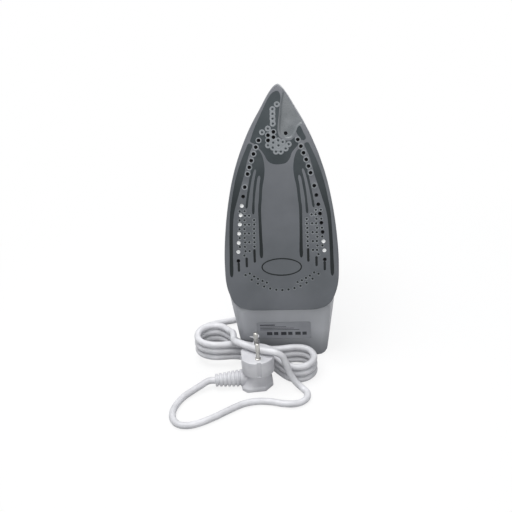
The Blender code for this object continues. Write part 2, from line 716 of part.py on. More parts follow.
def plate_rings(width, height, inner, outer, corner_points=3):
    """A round-cornered plate lying in the toe's slope, between two depths from its face."""
    slope = at(0, HOUSING_TOP - HOUSING_START, toe_line(HOUSING_TOP) - toe_line(HOUSING_START))
    start = at(0, HOUSING_START, toe_line(HOUSING_START))
    centre = start + slope * PLATE_PLACE_SHARE
    down = slope.normalized()
    across = at(1, 0, 0)
    out = down.cross(across)
    if out.y > 0:
        out = -out
    points = []
    for x, y, turn in ((1, 1, 0), (-1, 1, 1), (-1, -1, 2), (1, -1, 3)):
        for k in range(corner_points + 1):
            angle = math.pi / 2 * (turn + k / corner_points)
            points.append(across * (x * (width / 2 - PLATE_CORNER) + PLATE_CORNER * math.cos(angle))
                          + down * (y * (height / 2 - PLATE_CORNER) + PLATE_CORNER * math.sin(angle)))
    return [[centre + point + out * depth for point in points] for depth in (inner, outer)]


# Rear housing and decks


def shell_width(height):
    """The rear housing's half widths at the split and at the heel, at a height above the sole."""
    share = (height - HOUSING_TOP) / (REAR_TOP - HOUSING_TOP)
    return (HOUSING_HALF_WIDTH + (REAR_TOP_HALF_WIDTH - HOUSING_HALF_WIDTH) * share,
            TOE_END_HALF_WIDTH + (REAR_TOP_HEEL_HALF_WIDTH - TOE_END_HALF_WIDTH) * share)


def rear_ring(height, inset=0.0):
    front_half, heel_half = shell_width(height)
    outline = heel_outline(SPLIT_PLACE - inset, heel(height) + inset / math.cos(LEAN),
                           front_half - inset, heel_half - inset, TOE_CORNER - inset / 2)
    return level(outline, height)


def make_rear_housing(stance):
    base, top, wall = HOUSING_TOP + SEAT_GAP, REAR_TOP, HOUSING_WALL
    middle = (base + top) / 2
    rings = [rear_ring(base), rear_ring(middle), rear_ring(top), rear_ring(top, wall),
             rear_ring(middle, wall), rear_ring(base + wall, wall)]
    housing = lofted("rear_housing", rings, "white shell", parent=stance)
    low, high = base - OVERRUN, base + wall + OVERRUN
    pierce(housing, "rear_floor_cutters",
           [hole_rings(0.0, DIAL_PLACE, SPINDLE_BORE, low, high, SMALL_SIDES)]
           + [hole_rings(x, z, HOUSING_SCREW_HEAD + RUNNING_GAP * 2, low, high, SMALL_SIDES)
              for x, z in housing_screws()]
           + [hole_rings(side * HEATER_SPREAD, HEATER_REAR - HEATER_PIN_LENGTH, WIRE * 2, low, high)
              for side in (-1, 1)])


def make_rear_deck(stance):
    def ring(height, inset):
        outline = heel_outline(SPLIT_PLACE, heel(height), REAR_TOP_HALF_WIDTH - inset,
                               REAR_TOP_HEEL_HALF_WIDTH - inset, TOE_CORNER)
        return level(outline, height)

    deck = lofted("rear_deck", [ring(DECK_BASE, 0.0), ring((DECK_BASE + DECK_TOP) / 2, DECK_TAPER / 4),
                                ring(DECK_TOP, DECK_TAPER)], "white shell", parent=stance)
    low, high = DECK_BASE - OVERRUN, DECK_TOP + OVERRUN
    pierce(deck, "rear_deck_cutters",
           [hole_rings(0.0, DIAL_PLACE, SPINDLE_BORE, low, high, SMALL_SIDES),
            block_rings(at(-CABLE_CHANNEL_WIDTH / 2, low, TERMINAL_PLACE - TERMINAL_LENGTH / 2),
                        at(CABLE_CHANNEL_WIDTH / 2, high, TERMINAL_PLACE + TERMINAL_LENGTH / 2))])


# Water tank and front deck


def tank_ring(height, inset=0.0):
    share = (height - TANK_BASE) / (REAR_TOP - TANK_BASE)
    half = HOUSING_HALF_WIDTH + (TANK_TOP_HALF_WIDTH - HOUSING_HALF_WIDTH) * share
    bulge = 4 * share * (1 - share)
    straight = SOLE_LENGTH - HOUSING_TIP_INSET
    tip = straight + (TANK_TOP_TIP - straight) * share
    tip += bulge * (TANK_MID_TIP - (straight + TANK_TOP_TIP) / 2)
    return level(front_outline(TANK_REAR + inset, tip - inset * 2, half - inset), height)


def make_tank(stance):
    base, top, wall = TANK_BASE, TANK_TOP, TANK_WALL
    heights = [base + (top - base) * k / 3 for k in range(4)]
    rings = [tank_ring(h) for h in heights]
    rings += [tank_ring(h, wall) for h in reversed(heights[1:])] + [tank_ring(base + wall, wall)]
    tank = lofted("water_tank", rings, "smoke tank", parent=stance)
    pierce(tank, "tank_valve_cutter", [hole_rings(0.0, KNOB_PLACE, VALVE_BODY + RUNNING_GAP * 2,
                                                  base - OVERRUN, base + wall + OVERRUN, SMALL_SIDES)])
    seal_low, seal_high = TANK_TOP + SEAT_GAP / 2, REAR_TOP + SEAT_GAP / 2
    outer, inner = TANK_WALL * 0.2, TANK_WALL * 1.6
    mesh_data = bmesh.new()
    add_rings(mesh_data, [tank_ring_at(seal_low, outer), tank_ring_at(seal_high, outer),
                          tank_ring_at(seal_high, inner), tank_ring_at(seal_low, inner)], closed=True)
    new_object("tank_gasket", mesh_data, "silicone seal", parent=stance)


def tank_ring_at(height, inset):
    """The tank's top outline, set in, at another height."""
    return [at(point.x, height, point.z) for point in tank_ring(TANK_TOP, inset)]


def make_front_deck(stance):
    def ring(height, share):
        return level(front_outline(TANK_REAR, TANK_TOP_TIP - DECK_TIP_TAPER * share,
                                   TANK_TOP_HALF_WIDTH - DECK_TAPER * share), height)

    deck = lofted("front_deck", [ring(DECK_BASE, 0.0), ring((DECK_BASE + DECK_TOP) / 2, 0.25),
                                 ring(DECK_TOP, 1.0)], "white shell", parent=stance)
    low, high = DECK_BASE - OVERRUN, DECK_TOP + OVERRUN
    half = FILLER_WIDTH / 2 - DOOR_LIP
    filler = block_rings(at(-half, low, FILLER_PLACE - FILLER_LENGTH / 2 + DOOR_LIP),
                         at(half, high, FILLER_PLACE + FILLER_LENGTH / 2 - DOOR_LIP))
    pierce(deck, "front_deck_cutters",
           [hole_rings(0.0, KNOB_PLACE, ROD_BORE, low, high, SMALL_SIDES), filler])
    tip = TANK_TOP_TIP + OVERRUN
    pierce(deck, "nozzle_hole_cutter",
           [turned_rings([(0.0, NOZZLE / 2 + SEAT_GAP), (tip - NOZZLE_REAR, NOZZLE / 2 + SEAT_GAP)],
                         at(0, NOZZLE_HEIGHT, NOZZLE_REAR), at(0, 0, 1), SMALL_SIDES)])
    return deck


def make_nozzle(stance):
    body, flange = NOZZLE / 2, NOZZLE_FLANGE / 2
    length, thick = NOZZLE_LENGTH, NOZZLE_FLANGE_THICKNESS
    start = NOZZLE_REAR + SEAT_GAP
    nozzle = turned("spray_nozzle", [(0.0, body), (length - thick, body), (length - thick, flange),
                                     (length - thick / 3, flange), (length, flange * 0.7)],
                    at(0, NOZZLE_HEIGHT, start), at(0, 0, 1), "white shell", parent=stance,
                    sides=SMALL_SIDES)
    pierce(nozzle, "nozzle_bore_cutter",
           [turned_rings([(0.0, NOZZLE_BORE / 2), (NOZZLE_LENGTH, NOZZLE_BORE / 2)],
                         at(0, NOZZLE_HEIGHT, start + length / 2), at(0, 0, 1), HOLE_SIDES)])


def make_filler_door(stance):
    """The hinged door over the filler mouth; it turns on a pin in two ears on the deck."""
    hinge = at(0, DECK_TOP + DOOR_PIN, FILLER_PLACE - FILLER_LENGTH / 2 - DOOR_PIN * 1.2)
    base = DECK_TOP + SEAT_GAP
    front = FILLER_PLACE + FILLER_LENGTH / 2
    half = FILLER_WIDTH / 2
    lid_low = at(-half, base, hinge.z)
    lid_high = at(half, base + DOOR_THICKNESS, front)
    door = group("filler_door", [block_rings(lid_low, lid_high)], "grey shell", place=hinge,
                 parent=stance)
    ear_half = half - DOOR_EAR
    length = DOOR_EAR + RUNNING_GAP
    cuts = [block_rings(at(side * ear_half if side > 0 else -half - OVERRUN, base - OVERRUN,
                           hinge.z - OVERRUN),
                        at(half + OVERRUN if side > 0 else -ear_half, base + DOOR_THICKNESS + OVERRUN,
                           hinge.z + length)) for side in (-1, 1)]
    shift_to(cuts, -hinge)
    cutter = pierce(door, "door_notch_cutters", cuts)
    cutter.parent = door
    bore = [turned_rings([(0.0, DOOR_PIN / 2 + SEAT_GAP), (FILLER_WIDTH * 2, DOOR_PIN / 2 + SEAT_GAP)],
                         at(-FILLER_WIDTH, 0, 0), at(1, 0, 0), HOLE_SIDES)]
    cutter = pierce(door, "door_bore_cutter", bore)
    cutter.parent = door
    ears = [block_rings(at(side * half if side < 0 else ear_half + RUNNING_GAP, DECK_TOP - SEAT_GAP,
                           hinge.z - DOOR_PIN),
                        at(half if side > 0 else -ear_half - RUNNING_GAP, hinge.y + DOOR_PIN,
                           hinge.z + DOOR_PIN)) for side in (-1, 1)]
    return hinge, ears


def shift_to(ring_sets, offset):
    for rings in ring_sets:
        for ring in rings:
            for point in ring:
                point += offset


def add_hinge_ears(deck, hinge, ears, stance):
    """Join the door's ears to the deck and bore them for the pin."""
    blocks = group("hinge_ear_blocks", ears, None, parent=stance)
    blocks.hide_render = True
    blocks.display_type = "WIRE"
    modifier = deck.modifiers.new("hinge ears", "BOOLEAN")
    modifier.operation = "UNION"
    modifier.solver = "EXACT"
    modifier.object = blocks
    reach = FILLER_WIDTH / 2 + OVERRUN
    pierce(deck, "ear_bore_cutter",
           [turned_rings([(0.0, DOOR_PIN / 2 + SEAT_GAP), (reach * 2, DOOR_PIN / 2 + SEAT_GAP)],
                         at(-reach, hinge.y, hinge.z), at(1, 0, 0), HOLE_SIDES)])
    half = FILLER_WIDTH / 2
    turned("filler_door_pin", [(0.0, DOOR_PIN / 2), (half * 2, DOOR_PIN / 2)],
           at(-half, hinge.y, hinge.z), at(1, 0, 0), "steel", parent=stance, sides=HOLE_SIDES)


# Handle


def side_profile(points, half_width):
    """Two rings of a side view's outline, given as (along, height), one at each side."""
    return [[at(side * half_width, height, along) for along, height in points] for side in (-1, 1)]


def make_handle(stance):
    split = HANDLE_SPLIT
    corner = GAP_CORNER
    base_points = [(heel(HANDLE_BASE), HANDLE_BASE), (heel(split), split), (KNOB_SHELF_REAR, split),
                   (KNOB_SHELF_REAR, KNOB_SHELF), (HANDLE_FRONT, KNOB_SHELF),
                   (HANDLE_FRONT, HANDLE_BASE), (GAP_FRONT, HANDLE_BASE),
                   (GAP_FRONT - corner / 3, GAP_TOP - corner), (GAP_FRONT - corner, GAP_TOP),
                   (GAP_REAR + corner, GAP_TOP), (GAP_REAR, GAP_TOP - corner), (GAP_REAR, HANDLE_BASE)]
    base = lofted("handle_base", side_profile(base_points, HANDLE_HALF_WIDTH), "white shell",
                  parent=stance)
    soften(base, HANDLE_BEVEL / 2)
    high = split + OVERRUN
    channel_low = at(-CABLE_CHANNEL_WIDTH / 2, split - CABLE_CHANNEL_DEPTH, GAP_REAR - GAP_CORNER)
    channel_high = at(CABLE_CHANNEL_WIDTH / 2, high, LENS_PLACE + LAMP)
    shaft_low = at(-CABLE_CHANNEL_WIDTH / 2, HANDLE_BASE - OVERRUN, TERMINAL_PLACE - CLAMP_LENGTH / 2)
    shaft_high = at(CABLE_CHANNEL_WIDTH / 2, high, GAP_REAR - GAP_CORNER + OVERRUN)
    pierce(base, "handle_channel_cutter", [block_rings(channel_low, channel_high)])
    pierce(base, "handle_shaft_cutter", [block_rings(shaft_low, shaft_high)])
    pump_floor = PUMP_BARREL_TOP - PUMP_BARREL_LENGTH - SEAT_GAP
    pierce(base, "handle_bore_cutters",
           [hole_rings(side * BUTTON_SPREAD, BUTTON_PLACE, PUMP_BARREL + SEAT_GAP * 2, pump_floor, high,
                       ROUND_SIDES) for side in (-1, 1)]
           + [hole_rings(0.0, KNOB_PLACE, ROD_BORE, HANDLE_BASE - OVERRUN, KNOB_SHELF + OVERRUN,
                         SMALL_SIDES)])
    pierce(base, "bush_seat_cutter", [bush_seat()])

    top = HANDLE_TOP
    low = split + SEAT_GAP
    front = KNOB_SHELF_REAR
    top_points = [(heel(low) + SEAT_GAP, low), (heel(low) + SEAT_GAP * 2, top - HANDLE_BEVEL * 2),
                  (GAP_REAR, top), (GRIP_FRONT, top), (front - HANDLE_BEVEL, top - HANDLE_BEVEL),
                  (front, low)]
    cap = lofted("handle_cover", side_profile(top_points, HANDLE_HALF_WIDTH), "grey shell",
                 parent=stance)
    soften(cap, HANDLE_BEVEL / 2)
    pierce(cap, "grip_seat_cutter", [grip_rings(SEAT_GAP, SEAT_GAP, OVERRUN)])
    button_half, button_long = BUTTON_WIDTH / 2 + RUNNING_GAP, BUTTON_LENGTH / 2 + RUNNING_GAP
    pierce(cap, "button_hole_cutters",
           [block_rings(at(side * BUTTON_SPREAD - button_half, low - OVERRUN,
                           BUTTON_PLACE - button_long),
                        at(side * BUTTON_SPREAD + button_half, top + OVERRUN,
                           BUTTON_PLACE + button_long)) for side in (-1, 1)])
    pierce(cap, "lens_hole_cutter", [hole_rings(0.0, LENS_PLACE, LENS + SEAT_GAP * 2, low - OVERRUN,
                                                top + OVERRUN, SMALL_SIDES)])
    pierce(cap, "cover_bush_seat_cutter", [bush_seat()])
    lofted("handle_grip", grip_rings(0.0, 0.0, SEAT_GAP * 2), "soft grip", parent=stance)


def grip_rings(grow, deeper, rise):
    """The soft pad let into the cover's top."""
    half = GRIP_HALF_WIDTH + grow
    rear, front, chamfer = GRIP_REAR - grow, GRIP_FRONT - GAP_CORNER + grow, GRIP_HALF_WIDTH / 3
    outline = [(half, rear + chamfer), (half, front - chamfer), (half - chamfer, front),
               (chamfer - half, front), (-half, front - chamfer), (-half, rear + chamfer),
               (chamfer - half, rear), (half - chamfer, rear)]
    return [level(outline, HANDLE_TOP - GRIP_THICKNESS - deeper), level(outline, HANDLE_TOP + rise)]


def bush_axis():
    """The cord bush's centre and the direction in which the lead leaves it."""
    centre = at(0, BUSH_HEIGHT, BUSH_PLACE)
    return centre, at(0, math.sin(BUSH_ANGLE), -math.cos(BUSH_ANGLE))


def bush_seat():
    """The socket that holds the bush's ball, open along the lead's way out."""
    centre, axis = bush_axis()
    radius = BUSH_BALL / 2 + SEAT_GAP
    throat = BUSH_THROAT
    profile = [(-radius, radius * 0.4), (-radius * 0.7, radius * 0.8), (0.0, radius),
               (radius * 0.7, radius * 0.8), (radius * 0.9, throat / 2 + RUNNING_GAP),
               (BUSH_BALL * 3, throat / 2 + RUNNING_GAP)]
    return turned_rings(profile, centre, axis, ROUND_SIDES)


def make_bush(stance):
    centre, axis = bush_axis()
    radius = BUSH_BALL / 2
    profile = [(-radius * 0.95, radius * 0.3), (-radius * 0.7, radius * 0.7), (0.0, radius - SEAT_GAP),
               (radius * 0.7, radius * 0.7)]
    start, length = radius * 0.9, BUSH_GUARD_LENGTH
    for k in range(BUSH_RIBS):
        share = k / (BUSH_RIBS - 1)
        wide = (BUSH_GUARD_BASE + (BUSH_GUARD_END - BUSH_GUARD_BASE) * share) / 2
        near = start + length * (k + 0.3) / BUSH_RIBS
        profile += [(near, wide - BUSH_RIB), (near + length * 0.2 / BUSH_RIBS, wide),
                    (near + length * 0.5 / BUSH_RIBS, wide), (near + length * 0.65 / BUSH_RIBS,
                                                              wide - BUSH_RIB)]
    turned("cord_bush", profile, centre, axis, "grey shell", place=centre, parent=stance)
    return centre + axis * (profile[-1][0] + SEAT_GAP), axis


# Controls


def make_steam_control(stance):
    """The steam knob on its shelf, and the rod that its cam lifts out of the drip valve."""
    shelf = KNOB_SHELF + SEAT_GAP
    centre = at(0, shelf, KNOB_PLACE)
    radius, height = KNOB_DIAMETER / 2, KNOB_HEIGHT
    knob = turned("steam_knob", [(0.0, radius), (height * 0.8, radius), (height, radius * 0.86)],
                  centre, at(0, 1, 0), "grey shell", parent=stance)
    socket_depth = height / 2 + VALVE_LIFT
    cutter = pierce(knob, "knob_socket_cutter",
                    [turned_rings([(-OVERRUN, ROD_BORE / 2), (socket_depth, ROD_BORE / 2)], Vector(),
                                  at(0, 1, 0), SMALL_SIDES),
                     block_rings(at(radius * 0.35, height - KNOB_RIB / 4, -KNOB_RIB / 4),
                                 at(radius * 0.8, height + OVERRUN, KNOB_RIB / 4))])
    cutter.parent = knob
    foot = COVER_TOP + VALVE_BODY_HEIGHT * 0.3
    turned("valve_rod", [(0.0, ROD / 5), (ROD, ROD / 2), (shelf + height / 2 - foot - SEAT_GAP, ROD / 2)],
           at(0, foot, KNOB_PLACE), at(0, 1, 0), "steel", parent=stance, sides=SMALL_SIDES)
    base = COVER_TOP + SEAT_GAP
    outer, inner = VALVE_BODY / 2, ROD_BORE / 2
    top = VALVE_BODY_HEIGHT
    mesh_data = bmesh.new()
    profile = [(0.0, outer), (top, outer), (top, inner), (top * 0.25, inner),
               (top * 0.25, STEAM_PORT / 5), (0.0, STEAM_PORT / 5)]
    add_rings(mesh_data, turned_rings(profile, at(0, base, KNOB_PLACE), at(0, 1, 0), SMALL_SIDES),
              closed=True)
    new_object("drip_valve", mesh_data, "silicone seal", parent=stance)


def make_button(stance, name, side):
    """A pump button with its plunger, and the pump barrel, spring and inlet below it."""
    x = side * BUTTON_SPREAD
    top = HANDLE_TOP + BUTTON_RISE
    skirt = top - BUTTON_SKIRT
    low = at(x - BUTTON_WIDTH / 2, skirt, BUTTON_PLACE - BUTTON_LENGTH / 2)
    high = at(x + BUTTON_WIDTH / 2, top, BUTTON_PLACE + BUTTON_LENGTH / 2)
    barrel_top = PUMP_BARREL_TOP
    bore_floor = barrel_top - PUMP_BORE_DEPTH
    plunger_foot = bore_floor + BUTTON_TRAVEL + RUNNING_GAP
    place = at(x, top, BUTTON_PLACE)
    button = group(name + "_button", [block_rings(low, high)], "grey shell", place=place, parent=stance)
    soften(button, BUTTON_RISE / 3)
    plunger = group(name + "_plunger_body",
                    [hole_rings(x, BUTTON_PLACE, PLUNGER, plunger_foot, skirt + BUTTON_SKIRT / 3,
                                HOLE_SIDES)], None, place=place, parent=stance)
    plunger.hide_render = True
    plunger.display_type = "WIRE"
    modifier = button.modifiers.new("plunger", "BOOLEAN")
    modifier.operation = "UNION"
    modifier.solver = "EXACT"
    modifier.object = plunger
    outer, bore = PUMP_BARREL / 2, PLUNGER / 2 + RUNNING_GAP
    length, floor = PUMP_BARREL_LENGTH, PUMP_BARREL_LENGTH - PUMP_BORE_DEPTH
    turned(name + "_pump", [(0.0, outer * 0.6), (floor / 2, outer * 0.6), (floor / 2, outer),
                            (length, outer), (length, bore), (floor, bore),
                            (floor - bore / 2, bore / 9)],
           at(x, barrel_top - length, BUTTON_PLACE), at(0, 1, 0), "black phenolic", parent=stance,
           sides=SMALL_SIDES)
    make_spring(stance, name + "_spring", at(x, barrel_top + SEAT_GAP, BUTTON_PLACE),
                skirt - barrel_top - SEAT_GAP * 2)


def make_spring(stance, name, foot, height):
    """A compression spring round the plunger, as one unbroken wire."""
    steps = SPRING_TURNS * 9
    radius = (SPRING_COIL - SPRING_WIRE) / 2
    free = height - SPRING_WIRE
    path = []
    for k in range(steps + 1):
        turn = 2 * math.pi * SPRING_TURNS * k / steps
        path.append(foot + at(radius * math.cos(turn), SPRING_WIRE / 2 + free * k / steps,
                              radius * math.sin(turn)))
    lofted(name, tube_rings(path, SPRING_WIRE, 6), "steel", parent=stance)
    gap = free / SPRING_TURNS - SPRING_WIRE
    print(f"{name}: least gap between its turns {gap * 1000:.2f} mm")


def make_thermostat(stance):
    base = CASTING_TOP + SEAT_GAP
    reach = HOUSING_TOP - HOUSING_WALL - SEAT_GAP - base
    height = min(THERMOSTAT_HEIGHT, reach)
    centre = at(0, base, DIAL_PLACE)
    turned("thermostat", [(0.0, THERMOSTAT_DIAMETER / 2), (height * 0.7, THERMOSTAT_DIAMETER / 2),
                          (height * 0.75, THERMOSTAT_DIAMETER / 3), (height, THERMOSTAT_DIAMETER / 3)],
           centre, at(0, 1, 0), "black phenolic", parent=stance)
    foot = base + height + SEAT_GAP
    seat = DECK_TOP + SEAT_GAP
    radius, tall = DIAL_DIAMETER / 2, DIAL_HEIGHT
    rings = []
    for far, shrink in ((0.0, 1.0), (tall * 0.75, 1.0), (tall, 0.88)):
        ring = []
        for k in range(DIAL_RIBS * 2):
            turn = math.pi * k / DIAL_RIBS
            wide = radius * shrink - (DIAL_RIB if k % 2 else 0.0)
            ring.append(at(wide * math.cos(turn), seat + far, DIAL_PLACE + wide * math.sin(turn)))
        rings.append(ring)
    dial = lofted("thermostat_dial", rings, "grey shell", place=at(0, seat, DIAL_PLACE), parent=stance)
    cutter = pierce(dial, "dial_pointer_cutter",
                    [block_rings(at(-DIAL_RIB / 2, tall - DIAL_RIB / 2, radius / 3),
                                 at(DIAL_RIB / 2, tall + OVERRUN, radius * 0.75)),
                     turned_rings([(-OVERRUN, SPINDLE / 2 + SEAT_GAP / 2),
                                   (tall / 2 + SEAT_GAP, SPINDLE / 2 + SEAT_GAP / 2)], Vector(),
                                  at(0, 1, 0), SMALL_SIDES)])
    cutter.parent = dial
    turned("thermostat_spindle", [(0.0, SPINDLE / 2), (seat + tall / 2 - foot, SPINDLE / 2)],
           at(0, foot, DIAL_PLACE), at(0, 1, 0), "steel", parent=stance, sides=SMALL_SIDES)
    lower = CASTING_TOP + FUSE_DIAMETER / 2 + SEAT_GAP
    turned("thermal_fuse", [(0.0, FUSE_DIAMETER / 4), (FUSE_LENGTH * 0.15, FUSE_DIAMETER / 2),
                            (FUSE_LENGTH * 0.85, FUSE_DIAMETER / 2), (FUSE_LENGTH, FUSE_DIAMETER / 4)],
           at(-FUSE_LENGTH / 2, lower, FUSE_PLACE), at(1, 0, 0), "steel", parent=stance,
           sides=HOLE_SIDES)


def make_mains_parts(stance):
    base = HOUSING_TOP + SEAT_GAP + HOUSING_WALL + SEAT_GAP
    half, long = TERMINAL_WIDTH / 2, TERMINAL_LENGTH / 2
    block = group("terminal_block", [block_rings(at(-half, base, TERMINAL_PLACE - long),
                                                 at(half, base + TERMINAL_HEIGHT, TERMINAL_PLACE + long))],
                  "black phenolic", parent=stance)
    top = base + TERMINAL_HEIGHT
    cuts, wires = [], []
    clamp_top = HANDLE_SPLIT - CABLE_CHANNEL_DEPTH
    for k in (-1, 0, 1):
        x = k * WIRE_SPREAD
        cuts.append(hole_rings(x, TERMINAL_PLACE, WIRE + RUNNING_GAP, top - TERMINAL_HEIGHT / 2,
                               top + OVERRUN))
        narrow = k * WIRE * 1.4
        path = [at(x, top - TERMINAL_HEIGHT / 2 + SEAT_GAP, TERMINAL_PLACE),
                at(x, top + WIRE * 2, TERMINAL_PLACE), at(narrow, REAR_TOP - WIRE * 3, TERMINAL_PLACE),
                at(narrow, DECK_TOP + WIRE, TERMINAL_PLACE),
                at(narrow, clamp_top - CLAMP_HEIGHT - SEAT_GAP, TERMINAL_PLACE + WIRE)]
        wires.append(tube_rings(path, WIRE, HOLE_SIDES))
    pierce(block, "terminal_cutters", cuts)
    copies("mains_wire", wires, "black phenolic", stance)
    long = CLAMP_LENGTH / 2
    centre = TERMINAL_PLACE + WIRE
    group("cord_clamp", [block_rings(at(-CABLE_CHANNEL_WIDTH / 2 + SEAT_GAP, clamp_top - CLAMP_HEIGHT,
                                        centre - long + WIRE / 2),
                                     at(CABLE_CHANNEL_WIDTH / 2 - SEAT_GAP, clamp_top,
                                        centre + long))], "black phenolic", parent=stance)


def make_lamp(stance):
    top = HANDLE_TOP + LENS_RISE
    low = HANDLE_SPLIT + SEAT_GAP * 2
    turned("pilot_lens", [(0.0, LENS / 2), (top - low - LENS_RISE, LENS / 2), (top - low, LENS / 3)],
           at(0, low, LENS_PLACE), at(0, 1, 0), "red lens", parent=stance, sides=SMALL_SIDES)
    base = HANDLE_SPLIT - CABLE_CHANNEL_DEPTH + SEAT_GAP
    turned("pilot_lamp", [(0.0, LAMP / 2), (LAMP_LENGTH, LAMP / 2), (LAMP_LENGTH + LAMP / 3, LAMP / 4)],
           at(0, base, LENS_PLACE), at(0, 1, 0), "brass", parent=stance, sides=HOLE_SIDES)


# The lead, its hank, tie and plug


def smooth_route(points, step):
    """Points on a Catmull-Rom curve through the route, about a step apart."""
    padded = [points[0] * 2 - points[1]] + points + [points[-1] * 2 - points[-2]]
    fine = []
    for a, b, c, d in zip(padded, padded[1:], padded[2:], padded[3:]):
        count = 8
        for k in range(count):
            t = k / count
            fine.append(((b * 2) + (c - a) * t + (a * 2 - b * 5 + c * 4 - d) * t * t
                         + (b * 3 - a - c * 3 + d) * t * t * t) / 2)
    fine.append(points[-1])
    lengths = [0.0]
    for a, b in zip(fine, fine[1:]):
        lengths.append(lengths[-1] + (b - a).length)
    total = lengths[-1]
    count = max(2, round(total / step))
    spaced, k = [], 0
    for j in range(count + 1):
        want = total * j / count
        while k < len(fine) - 2 and lengths[k + 1] < want:
            k += 1
        span = lengths[k + 1] - lengths[k]
        spaced.append(fine[k].lerp(fine[k + 1], (want - lengths[k]) / span))
    return spaced


def free_stretch(start, start_way, points, end_way, end):
    """A smooth path between two ends that it leaves and meets straight, for one diameter each."""
    leave, arrive = start + start_way * CORD, end - end_way * CORD
    middle = smooth_route([leave] + points + [arrive], CORD * TUBE_STEP_SHARE)
    return [start] + middle + [end]


def tube(name, path, diameter, sides, material):
    """A round tube along a path, as a bevelled poly curve with filled ends."""
    curve = bpy.data.curves.new(name, "CURVE")
    curve.dimensions = "3D"
    curve.bevel_depth = diameter / 2
    curve.bevel_resolution = (sides - 4) // 2
    curve.render_resolution_u = 0
    curve.use_fill_caps = True
    spline = curve.splines.new("POLY")
    spline.points.add(len(path) - 1)
    for target, point in zip(spline.points, path):
        target.co = (*point, 1.0)
    curve.materials.append(finish(material))
    thing = bpy.data.objects.new(name, curve)
    bpy.context.scene.collection.objects.link(thing)
    return thing


def length_of(path):
    return sum((b - a).length for a, b in zip(path, path[1:]))


def hank_frame():
    along = Vector((math.cos(HANK_TURN), math.sin(HANK_TURN), 0))
    across = Vector((-math.sin(HANK_TURN), math.cos(HANK_TURN), 0))
    return Vector((*HANK_CENTRE, CORD / 2 + TIE_WIRE + SEAT_GAP)), along, across


def run_offset(share):
    """How far a run lies from the hank's middle line, at a share of the way from waist to fold."""
    open_share = max(0.0, (share - HANK_WAIST_SHARE) / (1 - HANK_WAIST_SHARE))
    return HANK_WAIST + (HANK_FOLD - HANK_WAIST) * (1 - math.cos(math.pi * open_share)) / 2


def hank_path():
    """The hank: flat loops piled up, each climbing one step along its front run."""
    centre, along, across = hank_frame()
    run_points = HANK_LOOP_POINTS // 3
    fold_points = HANK_LOOP_POINTS // 2 - run_points

    def place(a, b, z):
        return centre + along * a + across * b + Vector((0, 0, z))

    path = []
    for loop in range(HANK_LOOPS):
        z = HANK_STEP * loop
        for k in range(run_points):
            a = HANK_HALF_RUN * (2 * k / run_points - 1)
            path.append(place(a, run_offset(abs(a) / HANK_HALF_RUN), z))
        for k in range(fold_points):
            turn = math.pi / 2 - math.pi * k / fold_points
            path.append(place(HANK_HALF_RUN + HANK_FOLD * math.cos(turn), HANK_FOLD * math.sin(turn), z))
        for k in range(run_points):
            a = HANK_HALF_RUN * (1 - 2 * k / run_points)
            climb = HANK_STEP * k / run_points
            path.append(place(a, -run_offset(abs(a) / HANK_HALF_RUN), z + climb))
        for k in range(fold_points):
            turn = -math.pi / 2 - math.pi * k / fold_points
            path.append(place(-HANK_HALF_RUN + HANK_FOLD * math.cos(turn), HANK_FOLD * math.sin(turn),
                              z + HANK_STEP))
    top = HANK_STEP * HANK_LOOPS
    start = [place(-HANK_HALF_RUN - CORD, HANK_FOLD, 0)]
    end = [place(-HANK_HALF_RUN, HANK_FOLD, top)]
    for share in (0.5, 1.0):
        turn = math.pi / 2 - HANK_END_TURN * share
        end.append(place(-HANK_HALF_RUN + HANK_FOLD * math.cos(turn), HANK_FOLD * math.sin(turn), top))
    leave = along * math.sin(turn) - across * math.cos(turn)
    return start + path + end + [end[-1] + leave * CORD]


def least_gap(path, diameter):
    """The least distance between a tube's surfaces where it passes itself."""
    least = None
    fine = []
    for a, b in zip(path, path[1:]):
        fine += [a.lerp(b, k / 4) for k in range(4)]
    steps = [0.0]
    for a, b in zip(fine, fine[1:]):
        steps.append(steps[-1] + (b - a).length)
    for i, point in enumerate(fine):
        for j in range(i + 1, len(fine)):
            if steps[j] - steps[i] > diameter * 4:
                gap = (fine[j] - point).length - diameter
                least = gap if least is None else min(least, gap)
    return least


def make_lead(stance, bush_end, bush_axis_world):
    hank = hank_path()
    tube("cord_hank", hank, CORD, HANK_SIDES, "white lead")
    print(f"cord_hank: {HANK_LOOPS} loops, {length_of(hank):.3f} m, "
          f"least gap to itself {least_gap(hank, CORD) * 1000:.2f} mm")
    entry = (hank[1] - hank[0]).normalized()
    lead = free_stretch(bush_end, bush_axis_world, [Vector(p) for p in LEAD_ROUTE], entry,
                        hank[0] - entry * SEAT_GAP)
    tube("cord_lead", lead, CORD, TUBE_SIDES, "white lead")
    leave = (hank[-1] - hank[-2]).normalized()
    relief_end, relief_axis = relief_mouth()
    tail = free_stretch(hank[-1] + leave * SEAT_GAP, leave, [Vector(p) for p in TAIL_ROUTE],
                        -relief_axis, relief_end)
    tube("cord_tail", tail, CORD, TUBE_SIDES, "white lead")
    total = length_of(hank) + length_of(lead) + length_of(tail)
    print(f"lead {length_of(lead):.3f} m, tail {length_of(tail):.3f} m, in all {total:.3f} m")


